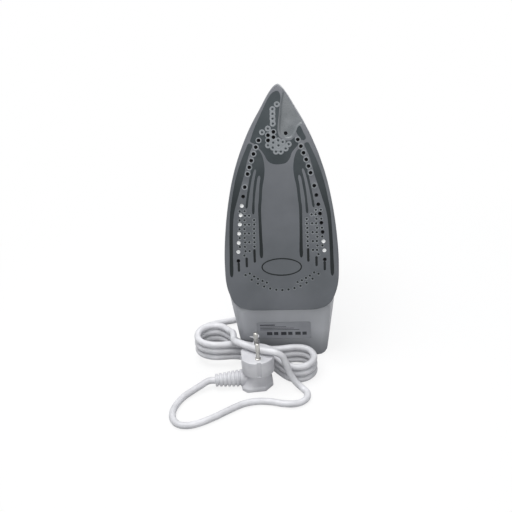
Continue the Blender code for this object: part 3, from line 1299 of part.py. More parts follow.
def make_tie():
    """A twisted wire tie round the hank's waist, its two ends standing up."""
    centre, along, across = hank_frame()
    side = HANK_WAIST + CORD / 2 + TIE_SLACK + TIE_WIRE / 2
    low = -CORD / 2 - TIE_WIRE / 2 - SEAT_GAP / 2
    top = HANK_STEP * (HANK_LOOPS - 0.5) + CORD / 2 + TIE_SLACK + TIE_WIRE / 2
    corner = CORD / 3
    outline = [(0.0, top), (side - corner, top), (side, top - corner), (side, low + corner),
               (side - corner, low), (corner - side, low), (-side, low + corner),
               (-side, top - corner), (corner - side, top), (-TIE_WIRE * 1.6, top)]
    path = [centre + across * b + Vector((0, 0, z)) for b, z in outline]
    up = Vector((0, 0, TIE_TAIL))
    lean = along * TIE_TAIL / 4
    path = [path[0] + up + lean] + path + [path[-1] + up - lean]
    tube("cord_tie", path, TIE_WIRE, HANK_SIDES, "white lead")


def plug_frame():
    away = Vector((-math.cos(PLUG_TURN), -math.sin(PLUG_TURN), 0))
    beside = Vector((-away.y, away.x, 0))
    return Vector((*PLUG_CENTRE, 0)), away, beside


def relief_mouth():
    centre, away, _ = plug_frame()
    far = PLUG_BACK_LENGTH / 2 + RELIEF_LENGTH + SEAT_GAP
    return centre + away * far + Vector((0, 0, TAIL_EXIT_HEIGHT)), away


def make_plug():
    """A moulded earthed plug with its lead leaving sideways."""
    centre, away, beside = plug_frame()

    def flat(points, z):
        return [centre + away * a + beside * b + Vector((0, 0, z)) for a, b in points]

    half_long, half_wide = PLUG_BACK_LENGTH / 2, PLUG_BACK_WIDTH / 2
    radius, flat_half = PLUG_ROUND / 2, PLUG_FLATS / 2
    reach = math.asin(flat_half / radius)
    arc = 6
    face = []
    for middle in (math.pi / 2, -math.pi / 2):
        for k in range(arc + 1):
            turn = middle + reach * (1 - 2 * k / arc)
            face.append((radius * math.cos(turn), radius * math.sin(turn)))
    back = []
    for a, b in face:
        cut = PLUG_BACK_CORNER if a > 0 else PLUG_BACK_CHAMFER
        scale = min(half_long / max(abs(a), cut / 9), half_wide / max(abs(b), cut / 9),
                    (half_long + half_wide - cut) / (abs(a) + abs(b)))
        back.append((a * scale, b * scale))
    waist = [(a * PLUG_WAIST_SHARE, b * PLUG_WAIST_SHARE) for a, b in face]
    body = lofted("plug_body", [flat(back, 0.0), flat(back, PLUG_BACK_EDGE), flat(waist, PLUG_WAIST_LOW),
                                flat(waist, PLUG_WAIST_HIGH), flat(face, PLUG_SHOULDER),
                                flat(face, PLUG_FACE)], "white lead")
    relief = []
    start = half_long / 2
    relief_profile = [(start, RELIEF_START / 2)]
    pitch = RELIEF_LENGTH / RELIEF_RIBS
    for k in range(RELIEF_RIBS):
        wide = (RELIEF_START + (RELIEF_END - RELIEF_START) * k / (RELIEF_RIBS - 1)) / 2
        near = half_long + pitch * k
        relief_profile += [(near + pitch * 0.25, wide), (near + pitch * 0.35, wide - RELIEF_RIB),
                           (near + pitch * 0.85, wide - RELIEF_RIB),
                           (near + pitch * (1.0 if k == RELIEF_RIBS - 1 else 0.95), wide)]
    relief.append(turned_rings(relief_profile, centre + Vector((0, 0, TAIL_EXIT_HEIGHT)), away,
                               ROUND_SIDES))
    join = group("relief_body", relief, None)
    join.hide_render = True
    join.display_type = "WIRE"
    modifier = body.modifiers.new("strain relief", "BOOLEAN")
    modifier.operation = "UNION"
    modifier.solver = "EXACT"
    modifier.object = join
    sockets, pins = [], []
    up = Vector((0, 0, 1))
    for side in (-1, 1):
        foot = centre + beside * side * PIN_PITCH / 2 + up * (PLUG_FACE - PIN_SEAT)
        sockets.append(turned_rings([(-SEAT_GAP, PIN_DIAMETER / 2 + SEAT_GAP),
                                     (PIN_SEAT + OVERRUN, PIN_DIAMETER / 2 + SEAT_GAP)], foot, up,
                                    SMALL_SIDES))
        long = PIN_SEAT + PIN_LENGTH
        pins.append(turned_rings([(0.0, PIN_DIAMETER / 2), (long - PIN_TIP, PIN_DIAMETER / 2),
                                  (long, PIN_DIAMETER / 4)], foot, up, SMALL_SIDES))
    pierce(body, "pin_socket_cutters", sockets)
    copies("plug_pin", pins, "steel")
    clip_cuts, clips = [], []
    clip_low = PLUG_SHOULDER + CLIP_REACH
    for side in (-1, 1):
        def strip(inner, outer, half, low, high):
            return [[centre + away * side * a + beside * b + up * z for a, b in
                     ((inner, -half), (outer, -half), (outer, half), (inner, half))]
                    for z in (low, high)]
        outer = flat_half - CLIP_REACH / 3
        clip_cuts.append(strip(outer - CLIP_THICKNESS - SEAT_GAP * 2, flat_half + OVERRUN,
                               CLIP_WIDTH / 2 + SEAT_GAP, clip_low, PLUG_FACE + OVERRUN))
        clips.append(strip(outer - CLIP_THICKNESS - SEAT_GAP, outer - SEAT_GAP, CLIP_WIDTH / 2,
                           clip_low + SEAT_GAP, PLUG_FACE - SEAT_GAP))
    pierce(body, "clip_seat_cutters", clip_cuts)
    notches = []
    for side in (-1, 1):
        inner, outer = radius - PLUG_NOTCH_DEPTH, radius + OVERRUN
        notches.append([[centre + away * a + beside * side * b + up * z for a, b in
                         ((-PLUG_NOTCH_WIDTH / 2, inner), (PLUG_NOTCH_WIDTH / 2, inner),
                          (PLUG_NOTCH_WIDTH / 2, outer), (-PLUG_NOTCH_WIDTH / 2, outer))]
                        for z in (PLUG_SHOULDER - OVERRUN / 2, PLUG_FACE + OVERRUN)])
    pierce(body, "guide_notch_cutters", notches)
    copies("plug_earth_clip", clips, "steel")


def clear_scene():
    for thing in list(bpy.data.objects):
        bpy.data.objects.remove(thing, do_unlink=True)


def centre_iron(stance):
    """Move the iron so that its box is centred over the origin."""
    bpy.context.view_layer.update()
    graph = bpy.context.evaluated_depsgraph_get()
    places = []
    for thing in bpy.data.objects:
        if thing.parent == stance and not thing.hide_render:
            shape = thing.evaluated_get(graph)
            places += [(shape.matrix_world @ v.co).y for v in shape.data.vertices]
    stance.location.y -= (min(places) + max(places)) / 2
    bpy.context.view_layer.update()
    print(f"the sole's rear edge is at y = {stance.location.y * 1000:.2f} mm, "
          f"the iron is {(max(places) - min(places)) * 1000:.2f} mm deep")


def main():
    clear_scene()
    stance = bpy.data.objects.new("stance", None)
    bpy.context.scene.collection.objects.link(stance)
    stance.location = (0, 0, HEEL_DROP)
    stance.rotation_euler = (-LEAN, 0, 0)
    make_soleplate(stance)
    make_casting(stance)
    make_heater(stance)
    make_chamber_cover(stance)
    make_insulation(stance)
    make_lower_housing(stance)
    make_rear_housing(stance)
    make_rear_deck(stance)
    make_tank(stance)
    deck = make_front_deck(stance)
    make_nozzle(stance)
    hinge, ears = make_filler_door(stance)
    add_hinge_ears(deck, hinge, ears, stance)
    make_handle(stance)
    bush_end, bush_way = make_bush(stance)
    make_steam_control(stance)
    make_button(stance, "spray", -1)
    make_button(stance, "steam_burst", 1)
    make_thermostat(stance)
    make_mains_parts(stance)
    make_lamp(stance)
    centre_iron(stance)
    frame = stance.matrix_world
    make_lead(stance, frame @ bush_end, (frame.to_3x3() @ bush_way).normalized())
    make_tie()
    make_plug()


main()
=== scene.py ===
"""Looks for a steam iron that stands on its heel, with its lead tied in a hank in front of it.

The iron's own frame has X across, Y the height above the sole face and Z from heel to tip;
STANCE leans it back onto its heel. Lengths are in metres, except in the tables of points and in
the whole section on the sole, which are in millimetres.
"""
from math import asin, cos, pi, radians, sin

import bmesh
import bpy
import numpy as np
from mathutils import Matrix, Vector
from mathutils.geometry import delaunay_2d_cdt


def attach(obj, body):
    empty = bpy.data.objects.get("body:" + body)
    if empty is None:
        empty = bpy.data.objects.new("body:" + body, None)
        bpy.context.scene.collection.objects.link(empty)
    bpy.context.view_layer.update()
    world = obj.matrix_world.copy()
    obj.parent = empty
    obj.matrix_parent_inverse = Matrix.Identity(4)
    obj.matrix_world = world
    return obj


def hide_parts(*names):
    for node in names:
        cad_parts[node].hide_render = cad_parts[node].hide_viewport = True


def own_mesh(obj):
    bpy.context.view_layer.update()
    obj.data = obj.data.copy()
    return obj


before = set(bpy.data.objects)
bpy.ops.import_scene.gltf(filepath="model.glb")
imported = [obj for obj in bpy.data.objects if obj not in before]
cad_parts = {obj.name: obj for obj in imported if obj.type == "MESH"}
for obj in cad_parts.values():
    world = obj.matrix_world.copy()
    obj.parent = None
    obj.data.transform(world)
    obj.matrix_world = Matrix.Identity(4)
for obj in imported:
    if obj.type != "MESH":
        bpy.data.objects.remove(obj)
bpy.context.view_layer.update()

MM = 0.001
LEAN = radians(16)
STANCE = Matrix.Translation((0, -0.09013, 0.064)) @ Matrix.Rotation(-LEAN, 4, "X")
UPRIGHT = Matrix.Identity(4)


def placed(name, data):
    """A new object in the scene."""
    thing = bpy.data.objects.new(name, data)
    bpy.context.scene.collection.objects.link(thing)
    return thing


# Shader nodes

def linear(code):
    """An sRGB hex colour as linear values."""
    shares = [int(code[k:k + 2], 16) / 255 for k in (0, 2, 4)]
    return [s / 12.92 if s <= 0.04045 else ((s + 0.055) / 1.055) ** 2.4 for s in shares] + [1.0]


def feed(tree, node, links):
    """Link outputs into a node's sockets; a node given as a source stands for its first output."""
    for key, source in links.items():
        if isinstance(source, bpy.types.Node):
            source = source.outputs[0]
        tree.links.new(source, node.inputs[key])


def add(tree, kind, settings=None, links=None):
    """Add a shader node; settings are its properties or socket values, links feed its sockets."""
    node = tree.nodes.new(kind)
    for key, value in (settings or {}).items():
        if isinstance(key, str) and hasattr(node, key):
            setattr(node, key, value)
        else:
            node.inputs[key].default_value = value
    feed(tree, node, links or {})
    return node


def start_material(name, code, roughness, constants):
    """A material with its shader's constants, ready for the nodes that vary it."""
    material = bpy.data.materials.new(name)
    material.use_nodes = True
    shader = material.node_tree.nodes["Principled BSDF"]
    for key, value in {"Base Color": linear(code), "Roughness": roughness, **constants}.items():
        shader.inputs[key].default_value = value
    return material, material.node_tree, shader


# Camera, light and floor

CAMERA_AIM, CAMERA_DISTANCE = Vector((0, -0.0301, 0.150)), 1.0
CAMERA_RISE, CAMERA_YAW, CAMERA_ROLL = radians(28), radians(2.5), radians(-2.33)
SENSOR_MM, LENS_MM, CAMERA_SHIFT = 36, 66.22, (-0.0497, -0.0877)
# Name, place, aim, size and power in watts
LIGHTS = (
    ("overhead_softbox", (-0.25, -0.15, 1.15), (0, -0.05, 0.08), (0.9, 0.8), 11.5),
    ("front_fill", (0.35, -1.25, 0.75), (0, -0.05, 0.12), (0.8, 0.8), 4.0),
    ("rear_fill", (0.3, 1.1, 0.8), (0, 0.05, 0.12), (0.9, 0.7), 4.0),
)
FILL_STRENGTH = 0.36
FLOOR_SIZE, FLOOR_DROP = 6, 0.0002
# The floor turns into plain white between these distances from its middle, starting at this share
FADE_START, FADE_END, FADE_SHARE = 0.20, 0.42, 0.84


def place_camera():
    """The photograph's view: well above the table, a touch to the right, slightly rolled."""
    level = cos(CAMERA_RISE)
    back = Vector((sin(CAMERA_YAW) * level, -cos(CAMERA_YAW) * level, sin(CAMERA_RISE)))
    right = Vector((cos(CAMERA_YAW), sin(CAMERA_YAW), 0))
    up = back.cross(right)
    keep, turn = cos(CAMERA_ROLL), sin(CAMERA_ROLL)
    right, up = right * keep + up * turn, up * keep - right * turn
    camera = placed("camera", bpy.data.cameras.new("camera"))
    rotation = Matrix((right, up, back)).transposed().to_4x4()
    camera.matrix_world = Matrix.Translation(CAMERA_AIM + back * CAMERA_DISTANCE) @ rotation
    camera.data.sensor_width = SENSOR_MM
    camera.data.lens = LENS_MM
    camera.data.shift_x, camera.data.shift_y = CAMERA_SHIFT
    bpy.context.scene.camera = camera


def area_light(name, place, aim, size, power):
    """A rectangular softbox that looks at its aim."""
    light = bpy.data.lights.new(name, "AREA")
    light.shape, light.size, light.size_y, light.energy = "RECTANGLE", size[0], size[1], power
    lamp = placed(name, light)
    lamp.location = place
    lamp.rotation_euler = (Vector(aim) - Vector(place)).to_track_quat("-Z", "Y").to_euler()


def studio():
    """White where it is seen, a dimmer and cooler fill where it lights, with three soft lights."""
    world = bpy.data.worlds.new("studio")
    bpy.context.scene.world = world
    bpy.context.scene.view_settings.view_transform = "Standard"
    world.use_nodes = True
    tree = world.node_tree
    tree.nodes.clear()
    path = add(tree, "ShaderNodeLightPath")
    seen = add(tree, "ShaderNodeMath", {"operation": "MAXIMUM"},
               {0: path.outputs["Is Camera Ray"], 1: path.outputs["Is Glossy Ray"]})
    seen = add(tree, "ShaderNodeMath", {"operation": "MAXIMUM"},
               {0: seen, 1: path.outputs["Is Transmission Ray"]})
    fill = add(tree, "ShaderNodeBackground", {"Color": linear("eef1f6"), "Strength": FILL_STRENGTH})
    white = add(tree, "ShaderNodeBackground", {"Color": linear("ffffff"), "Strength": 1.0})
    mixed = add(tree, "ShaderNodeMixShader", None,
                {0: seen, 1: fill, 2: white})
    add(tree, "ShaderNodeOutputWorld", None, {0: mixed})
    for light in LIGHTS:
        area_light(*light)
    bpy.ops.mesh.primitive_plane_add(size=FLOOR_SIZE, location=(0, 0, -FLOOR_DROP))
    floor = bpy.context.object
    floor.name = "pale_floor"
    floor.data.materials.append(painted_floor())


def painted_floor():
    """Matt white paint: it takes the iron's soft shadow and turns into the backdrop's white."""
    material, tree, shader = start_material("matt_white_paint", "f4f4f4", 0.85,
                                            {"Specular IOR Level": 0.1})
    path = add(tree, "ShaderNodeLightPath")
    # Less light comes back up from it than the camera's white would throw, so undersides stay shaded
    paint = add(tree, "ShaderNodeMix", {"data_type": "RGBA", 6: linear("f4f4f4"), 7: linear("a2a2a2")},
                {0: path.outputs["Is Diffuse Ray"]})
    feed(tree, shader, {"Base Color": paint.outputs[2]})
    space = add(tree, "ShaderNodeTexCoord")
    reach = add(tree, "ShaderNodeVectorMath", {"operation": "LENGTH"}, {0: space.outputs["Object"]})
    fade = add(tree, "ShaderNodeMapRange", {"From Min": FADE_START, "From Max": FADE_END,
                                            "To Min": FADE_SHARE}, {0: reach.outputs["Value"]})
    share = add(tree, "ShaderNodeMath", {"operation": "MULTIPLY"},
                {0: path.outputs["Is Camera Ray"], 1: fade})
    glow = add(tree, "ShaderNodeEmission", {"Color": linear("ffffff"), "Strength": 1.0})
    mixed = add(tree, "ShaderNodeMixShader", None,
                {0: share, 1: shader, 2: glow})
    feed(tree, tree.nodes["Material Output"], {"Surface": mixed})
    return material


# Materials

# The part of a noise's range in which patches and grain run from one end to the other
PATCH_RANGE, GRAIN_RANGE = (0.35, 0.65), (0.3, 0.7)
BUMP_STRENGTH = 0.35
# The tank's flow marks; the lens's ribs as a wave node's scale, which sets them 2.4 mm apart
FLOW_MM, RIB_SCALE, RIB_DEPTH_MM = 30, 132.7, 0.1


def coloured(name, low, high, roughness, bump_mm, grain_mm, patch_mm, metallic=0.0, ior=1.5,
             stretch=(1, 1, 1), foot=None, gloss=0.5):
    """A finish whose tone drifts over patches, with a fine surface grain in roughness and bump.

    foot gives a darker pair of tones, painted shade at the lower end, and the two heights between
    which they fade.
    """
    material, tree, shader = start_material(name, high, roughness[1], {
        "Metallic": metallic, "IOR": ior, "Specular IOR Level": gloss})
    space = add(tree, "ShaderNodeTexCoord")
    patches = add(tree, "ShaderNodeTexNoise", {"Scale": 1000 / patch_mm, "Detail": 3.0},
                  {"Vector": space.outputs["Object"]})
    laid = add(tree, "ShaderNodeMapping", {"Scale": stretch}, {"Vector": space.outputs["Object"]})
    fine = add(tree, "ShaderNodeTexNoise", {"Scale": 1000 / grain_mm, "Detail": 2.0},
               {"Vector": laid})
    share = add(tree, "ShaderNodeMapRange", {"From Min": PATCH_RANGE[0], "From Max": PATCH_RANGE[1]},
                {0: patches})
    tint = add(tree, "ShaderNodeMix", {"data_type": "RGBA", 6: linear(low), 7: linear(high)},
               {0: share})
    # Darker tones towards the floor: painted shade
    if foot:
        shaded_low, shaded_high, start, end = foot
        shaded_foot_tint = add(tree, "ShaderNodeMix", {"data_type": "RGBA", 6: linear(shaded_low),
                                           7: linear(shaded_high)}, {0: share})
        place = add(tree, "ShaderNodeSeparateXYZ", None, {0: space.outputs["Object"]})
        rise = add(tree, "ShaderNodeMapRange", {"From Min": start, "From Max": end},
                   {0: place.outputs["Z"]})
        tint = add(tree, "ShaderNodeMix", {"data_type": "RGBA"},
                   {0: rise, 6: shaded_foot_tint.outputs[2], 7: tint.outputs[2]})
    rough = add(tree, "ShaderNodeMapRange", {"From Min": GRAIN_RANGE[0], "From Max": GRAIN_RANGE[1],
                                             "To Min": roughness[0], "To Max": roughness[1]},
                {0: fine})
    bump = add(tree, "ShaderNodeBump", {"Strength": BUMP_STRENGTH, "Distance": bump_mm * MM},
               {"Height": fine})
    feed(tree, shader, {"Base Color": tint.outputs[2], "Roughness": rough,
                        "Normal": bump})
    return material


# Material, low and high tone, range of roughness, then bump, grain and patches in mm, and the rest
FINISHES = {
    # Glazed ceramic coat sprayed on aluminium: satin, cloudy, with faint wipe marks along its length
    # Its darker foot tones are painted shade towards the floor
    "coat": ("ceramic_coat_mid_grey", "6c6f74", "7a7c81", (0.30, 0.42), 0.05, 0.7, 45,
             dict(stretch=(1, 1, 0.25), foot=("5a5e62", "676a6f", 0.165, 0.285), gloss=0.4)),
    # The same coat, painted lighter as a highlight on the raised rings and ridges; its darker foot is
    # painted shade
    "web_highlight": ("ceramic_coat_light_grey", "7e8386", "8f9397", (0.28, 0.38), 0.04, 0.6, 25,
            dict(foot=("6a6e71", "797d80", 0.10, 0.20))),
    # Fired-on print under the coat: slate grey at the tip, nearly black towards the heel
    # At the heel end the print is darker, and its foot tones add painted shade towards the floor
    "print": ("ceramic_print_slate", "3b4245", "4a5053", (0.38, 0.50), 0.04, 0.6, 40,
              dict(foot=("161b1c", "212627", 0.135, 0.235), gloss=0.22)),
    # The thin marks near the heel are the darkest print
    "ink": ("ceramic_print_black", "0e1213", "191d1e", (0.40, 0.52), 0.04, 0.6, 40, dict(gloss=0.22)),
    # Pressed recess: smoother coat, a little lighter
    "groove": ("ceramic_coat_recess", "656a6d", "767a7d", (0.24, 0.34), 0.03, 0.8, 14, {}),
    # Steam bore in the aluminium: near black, painted shade down the hole and round its mouth
    "bore": ("sooted_aluminium_bore", "101213", "1c1e20", (0.6, 0.8), 0.05, 0.5, 8, dict(gloss=0.15)),
    # Lime scale that fills a hole: chalky, off white, crumbly
    "scale": ("lime_scale_chalky", "e8eae9", "fbfbfa", (0.8, 0.95), 0.15, 0.5, 3, {}),
    # Moulded ABS of the toe and skirt: cool light grey, fine spark-eroded grain, darker at its foot
    # Its grey is the shell's plastic painted darker as shade, and the darker foot is painted shade
    # near the floor
    "toe": ("abs_toe_light_grey", "a6a8ac", "b3b5b9", (0.34, 0.46), 0.04, 0.5, 45,
            dict(ior=1.54, foot=("7c7e82", "888a8e", 0.000, 0.034))),
    # Moulded ABS of the upper shell: paler, without the toe's painted shade, same grain
    "shell": ("abs_shell_pale_grey", "bfc1c5", "cbcdd0", (0.32, 0.44), 0.04, 0.5, 45, dict(ior=1.54)),
    # Moulded ABS of the controls and trim: blue-grey, silkier
    "trim": ("abs_trim_blue_grey", "6f7a88", "808b97", (0.28, 0.38), 0.03, 0.5, 30, dict(ior=1.54)),
    # Thermoplastic elastomer grip: slate, matt, pebbled about 1 mm
    "grip": ("elastomer_grip_slate", "3b4046", "494d54", (0.68, 0.84), 0.30, 1.1, 26, {}),
    # Flexible PVC sheath: white, slightly grubby where it is handled
    "sheath": ("pvc_sheath_white", "cacacd", "dfdfe2", (0.36, 0.50), 0.06, 0.9, 16, dict(ior=1.52)),
    # Moulded PVC plug: greyer white than the sheath, satin
    "plug": ("pvc_plug_white", "c6c6ca", "d8d8db", (0.32, 0.44), 0.05, 0.8, 18, dict(ior=1.52)),
    # Nickel-plated brass pins: warm silver, drawn lengthwise
    "nickel": ("nickel_plated_brass", "a6a5a2", "bdbcb8", (0.26, 0.38), 0.02, 0.5, 6,
               dict(metallic=1.0, stretch=(1, 1, 0.2))),
    # Silvered polyester label: a little darker and smoother than the toe round it
    "label": ("polyester_label_silver", "95979c", "a4a6ab", (0.28, 0.36), 0.02, 0.4, 24, {}),
    # Grey ink of the plain blocks that stand for the label's text
    "label_ink": ("label_ink_grey", "36383c", "424448", (0.45, 0.55), 0.02, 0.4, 12, {}),
    # Zinc-plated pressed steel
    "steel": ("zinc_plated_steel", "a9abad", "bfc1c3", (0.25, 0.38), 0.02, 0.6, 8, dict(metallic=1.0)),
    # Die-cast aluminium, as cast: dull and slightly pitted
    "cast": ("cast_aluminium", "8f9193", "a3a5a7", (0.45, 0.62), 0.10, 0.7, 12, dict(metallic=1.0)),
    # Turned brass terminals, dulled by heat
    "brass": ("turned_brass", "a98a48", "c0a15c", (0.24, 0.36), 0.02, 0.5, 6, dict(metallic=1.0)),
    # Phenolic moulding: black, faintly mottled, semi-matt
    "phenolic": ("phenolic_black", "1d1e20", "2a2b2e", (0.42, 0.58), 0.04, 0.6, 10, {}),
    # Silicone seal: brick red, rubbery
    "silicone": ("silicone_brick_red", "9f463d", "b5544a", (0.5, 0.65), 0.05, 0.7, 10, {}),
    # Pressed mineral fibre: fluffy, off white
    "fibre": ("mineral_fibre_board", "c3baa6", "d8d1c1", (0.9, 1.0), 0.4, 1.2, 7, {}),
}


def make_materials():
    """Every material, by the short name that the pieces ask for."""
    made = {key: coloured(*row, **rest) for key, (*row, rest) in FINISHES.items()}
    made["tank"] = smoke_tank()
    made["lens"] = red_lens()
    return made


def smoke_tank():
    """Injected SAN tank: smoke-blue tint, glossy and see-through, with faint flow marks."""
    material, tree, shader = start_material("san_tank_smoke", "8fa3b6", 0.08, {
        "Transmission Weight": 0.70, "IOR": 1.57})
    space = add(tree, "ShaderNodeTexCoord")
    flow = add(tree, "ShaderNodeTexNoise", {"Scale": 1000 / FLOW_MM, "Detail": 3.0, "Distortion": 0.6},
               {"Vector": space.outputs["Object"]})
    tint = add(tree, "ShaderNodeMix", {"data_type": "RGBA", 6: linear("8299ae"), 7: linear("9db0c0")},
               {0: flow})
    rough = add(tree, "ShaderNodeMapRange", {"From Min": GRAIN_RANGE[0], "From Max": GRAIN_RANGE[1],
                                             "To Min": 0.05, "To Max": 0.16}, {0: flow})
    feed(tree, shader, {"Base Color": tint.outputs[2], "Roughness": rough})
    return material


def red_lens():
    """Clear red PMMA over the pilot lamp, ribbed inside about every 2.4 mm."""
    material, tree, shader = start_material("pmma_lens_red", "c4332a", 0.10, {
        "Transmission Weight": 0.35, "IOR": 1.49})
    space = add(tree, "ShaderNodeTexCoord")
    ribs = add(tree, "ShaderNodeTexWave", {"Scale": RIB_SCALE, "Distortion": 0.4},
               {"Vector": space.outputs["Object"]})
    tint = add(tree, "ShaderNodeMix", {"data_type": "RGBA", 6: linear("b02a22"), 7: linear("d4453a")},
               {0: ribs.outputs[1]})
    bump = add(tree, "ShaderNodeBump", {"Strength": 0.3, "Distance": RIB_DEPTH_MM * MM},
               {"Height": ribs.outputs[1]})
    feed(tree, shader, {"Base Color": tint.outputs[2], "Normal": bump})
    return material


# Meshes

# Points this close become one, and the fine parts of a smooth line between two of its points
WELD, CURVE_PARTS = 0.000004, 12


def piece(name, surface, body, finish, replaces=(), place=UPRIGHT, smooth=35,
          face_finish=None):
    """A mesh piece that rides on a body.

    surface is its vertices in metres and its faces; finish is one material or a list of them.
    """
    verts, faces = surface
    mesh = bpy.data.meshes.new(name)
    mesh.from_pydata([place @ Vector(v) for v in verts], [], faces)
    for material in finish if isinstance(finish, (list, tuple)) else [finish]:
        mesh.materials.append(material)
    if face_finish is not None:
        mesh.polygons.foreach_set("material_index", face_finish)
    shape = bmesh.new()
    shape.from_mesh(mesh)
    bmesh.ops.remove_doubles(shape, verts=shape.verts, dist=WELD)
    bmesh.ops.delete(shape, geom=[v for v in shape.verts if not v.link_faces], context="VERTS")
    bmesh.ops.recalc_face_normals(shape, faces=shape.faces)
    shape.to_mesh(mesh)
    shape.free()
    mesh.shade_smooth()
    mesh.set_sharp_from_angle(angle=radians(smooth))
    thing = placed(name, mesh)
    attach(thing, body)
    if replaces:
        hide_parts(*replaces)
    return thing


def skin(rings, closed=False, caps=True):
    """Vertices and faces of a skin over rings of equal count."""
    count = len(rings[0])
    verts = [tuple(p) for ring in rings for p in ring]
    faces = []
    rows = len(rings)
    for r in range(rows if closed else rows - 1):
        a, b = r * count, (r + 1) % rows * count
        for k in range(count):
            n = (k + 1) % count
            faces.append((a + k, a + n, b + n, b + k))
    if caps and not closed:
        faces.append(tuple(range(count - 1, -1, -1)))
        faces.append(tuple(range((rows - 1) * count, rows * count)))
    return verts, faces


def joined(parts):
    """Several (verts, faces) sets as one."""
    verts, faces = [], []
    for v, f in parts:
        start = len(verts)
        verts += v
        faces += [tuple(k + start for k in face) for face in f]
    return verts, faces


def turned(profile, origin, axis, sides=40):
    """A turned shape from (distance along the axis, radius) pairs."""
    axis = Vector(axis).normalized()
    across = axis.orthogonal().normalized()
    other = axis.cross(across)
    turns = [2 * pi * k / sides for k in range(sides)]
    rings = [[Vector(origin) + axis * far + (across * cos(t) + other * sin(t)) * radius
              for t in turns] for far, radius in profile]
    return skin(rings)


def curve_through(points, step, closed=False):
    """Points about a step apart on a centripetal Catmull-Rom curve."""
    pts = [Vector(p) for p in points]
    if closed:
        padded = [pts[-1]] + pts + [pts[0], pts[1]]
    else:
        padded = [pts[0] * 2 - pts[1]] + pts + [pts[-1] * 2 - pts[-2]]
    fine = []
    for a, b, c, d in zip(padded, padded[1:], padded[2:], padded[3:]):
        t1 = (b - a).length ** 0.5
        t2 = t1 + (c - b).length ** 0.5
        t3 = t2 + (d - c).length ** 0.5
        for k in range(CURVE_PARTS):
            t = t1 + (t2 - t1) * k / CURVE_PARTS
            ab, bc = a.lerp(b, t / t1), b.lerp(c, (t - t1) / (t2 - t1))
            cd = c.lerp(d, (t - t2) / (t3 - t2))
            abc, bcd = ab.lerp(bc, t / t2), bc.lerp(cd, (t - t1) / (t3 - t1))
            fine.append(abc.lerp(bcd, (t - t1) / (t2 - t1)))
    fine.append(pts[0].copy() if closed else pts[-1].copy())
    steps = [0.0]
    for a, b in zip(fine, fine[1:]):
        steps.append(steps[-1] + (b - a).length)
    count = max(3, round(steps[-1] / step))
    spaced, k = [], 0
    for j in range(count if closed else count + 1):
        want = steps[-1] * j / count
        while k < len(fine) - 2 and steps[k + 1] < want:
            k += 1
        gap = max(steps[k + 1] - steps[k], 1e-12)
        spaced.append(fine[k].lerp(fine[k + 1], (want - steps[k]) / gap))
    return spaced


# The lead

# The lead's thickness, the spacing of its points and its length hidden in the bush and in the plug
CORD, PATH_STEP, LEAD_HIDDEN = 0.0070, 0.0022, 0.004
LEAD_ROUTE = (
    (3, 101, 20.5), (7, 111, 16), (12, 123, 10.5), (17, 137, 5.8), (20, 152, 3.8), (16, 167, 3.5),
    (3, 176, 3.5), (-13, 175, 3.5), (-26, 164, 3.5), (-33, 146, 3.5), (-36, 124, 3.5),
    (-37, 101, 3.5), (-37, 78, 3.5), (-37, 55, 3.5), (-37, 32, 3.5), (-38, 12, 3.5),
    (-43, -5, 3.5), (-54, -16.5, 3.5), (-68, -21.5, 3.5), (-82, -26, 3.6), (-93.5, -33.5, 3.9),
    (-98.5, -44, 4.2), (-95.5, -54.5, 4.5),
)
TAIL_ROUTE = (
    (-56, -80, 30), (-54.3, -87, 31.8), (-53.5, -95, 33.2), (-52.3, -103.5, 35.2),
    (-49.8, -111.3, 40.4), (-44.2, -118, 43), (-35.5, -123.5, 42.9), (-26.5, -128, 42.4),
    (-17.5, -131.8, 42.9), (-9.2, -134.3, 43.1), (-1, -136.3, 39.8), (3.4, -137.8, 29.8),
    (7.2, -139.2, 18.2), (13, -141, 9.2), (19.5, -144.5, 4.4), (24, -150.8, 3.5),
    (23.8, -158.5, 3.5), (18.8, -164.8, 3.5), (10.5, -167.8, 3.5), (0.5, -167.2, 3.5),
    (-12.5, -164, 3.5), (-26.5, -163.2, 3.5), (-40, -166.8, 3.5), (-54, -176, 3.5),
    (-68, -186.5, 3.5), (-83, -195.5, 3.5), (-93.5, -198.5, 3.5), (-103, -196.5, 3.5),
    (-109, -188.5, 3.5), (-110.5, -178, 3.5), (-107.8, -166, 3.5), (-102.5, -155.5, 3.7),
    (-95, -147.5, 4.5), (-86.8, -141.2, 6.2),
)
HANK_CENTRE, HANK_TURN, HANK_LIFT = (-0.031, -0.097), radians(-19), 0.0012
HANK_HALF_RUN, HANK_FOLD, HANK_WAIST, HANK_STEP, HANK_LOOPS = 0.048, 0.0172, 0.0042, 0.0077, 3
# Share of a half run that the tie keeps drawn in, and the points on a run and on a fold
HANK_HELD, RUN_POINTS, FOLD_POINTS = 0.25, 12, 8
BUSH_PLACE, BUSH_TURN = Vector((0, 0.1405, 0.004)), radians(98)
BUSH_BALL, BUSH_GUARD, BUSH_RIBS = 0.0075, 0.034, 6


def bush_end():
    """The mouth of the bush at the handle's rear and the way in which the lead leaves it."""
    way = Vector((0, sin(BUSH_TURN), -cos(BUSH_TURN)))
    start = BUSH_PLACE + way * (BUSH_BALL * 0.9 + BUSH_GUARD * (BUSH_RIBS - 0.05) / BUSH_RIBS)
    return STANCE @ start, (STANCE.to_3x3() @ way).normalized()


def hank_frame():
    """The hank's centre, the way along its runs and the way across them."""
    along = Vector((cos(HANK_TURN), sin(HANK_TURN), 0))
    across = Vector((-sin(HANK_TURN), cos(HANK_TURN), 0))
    return Vector((*HANK_CENTRE, CORD / 2 + HANK_LIFT)), along, across


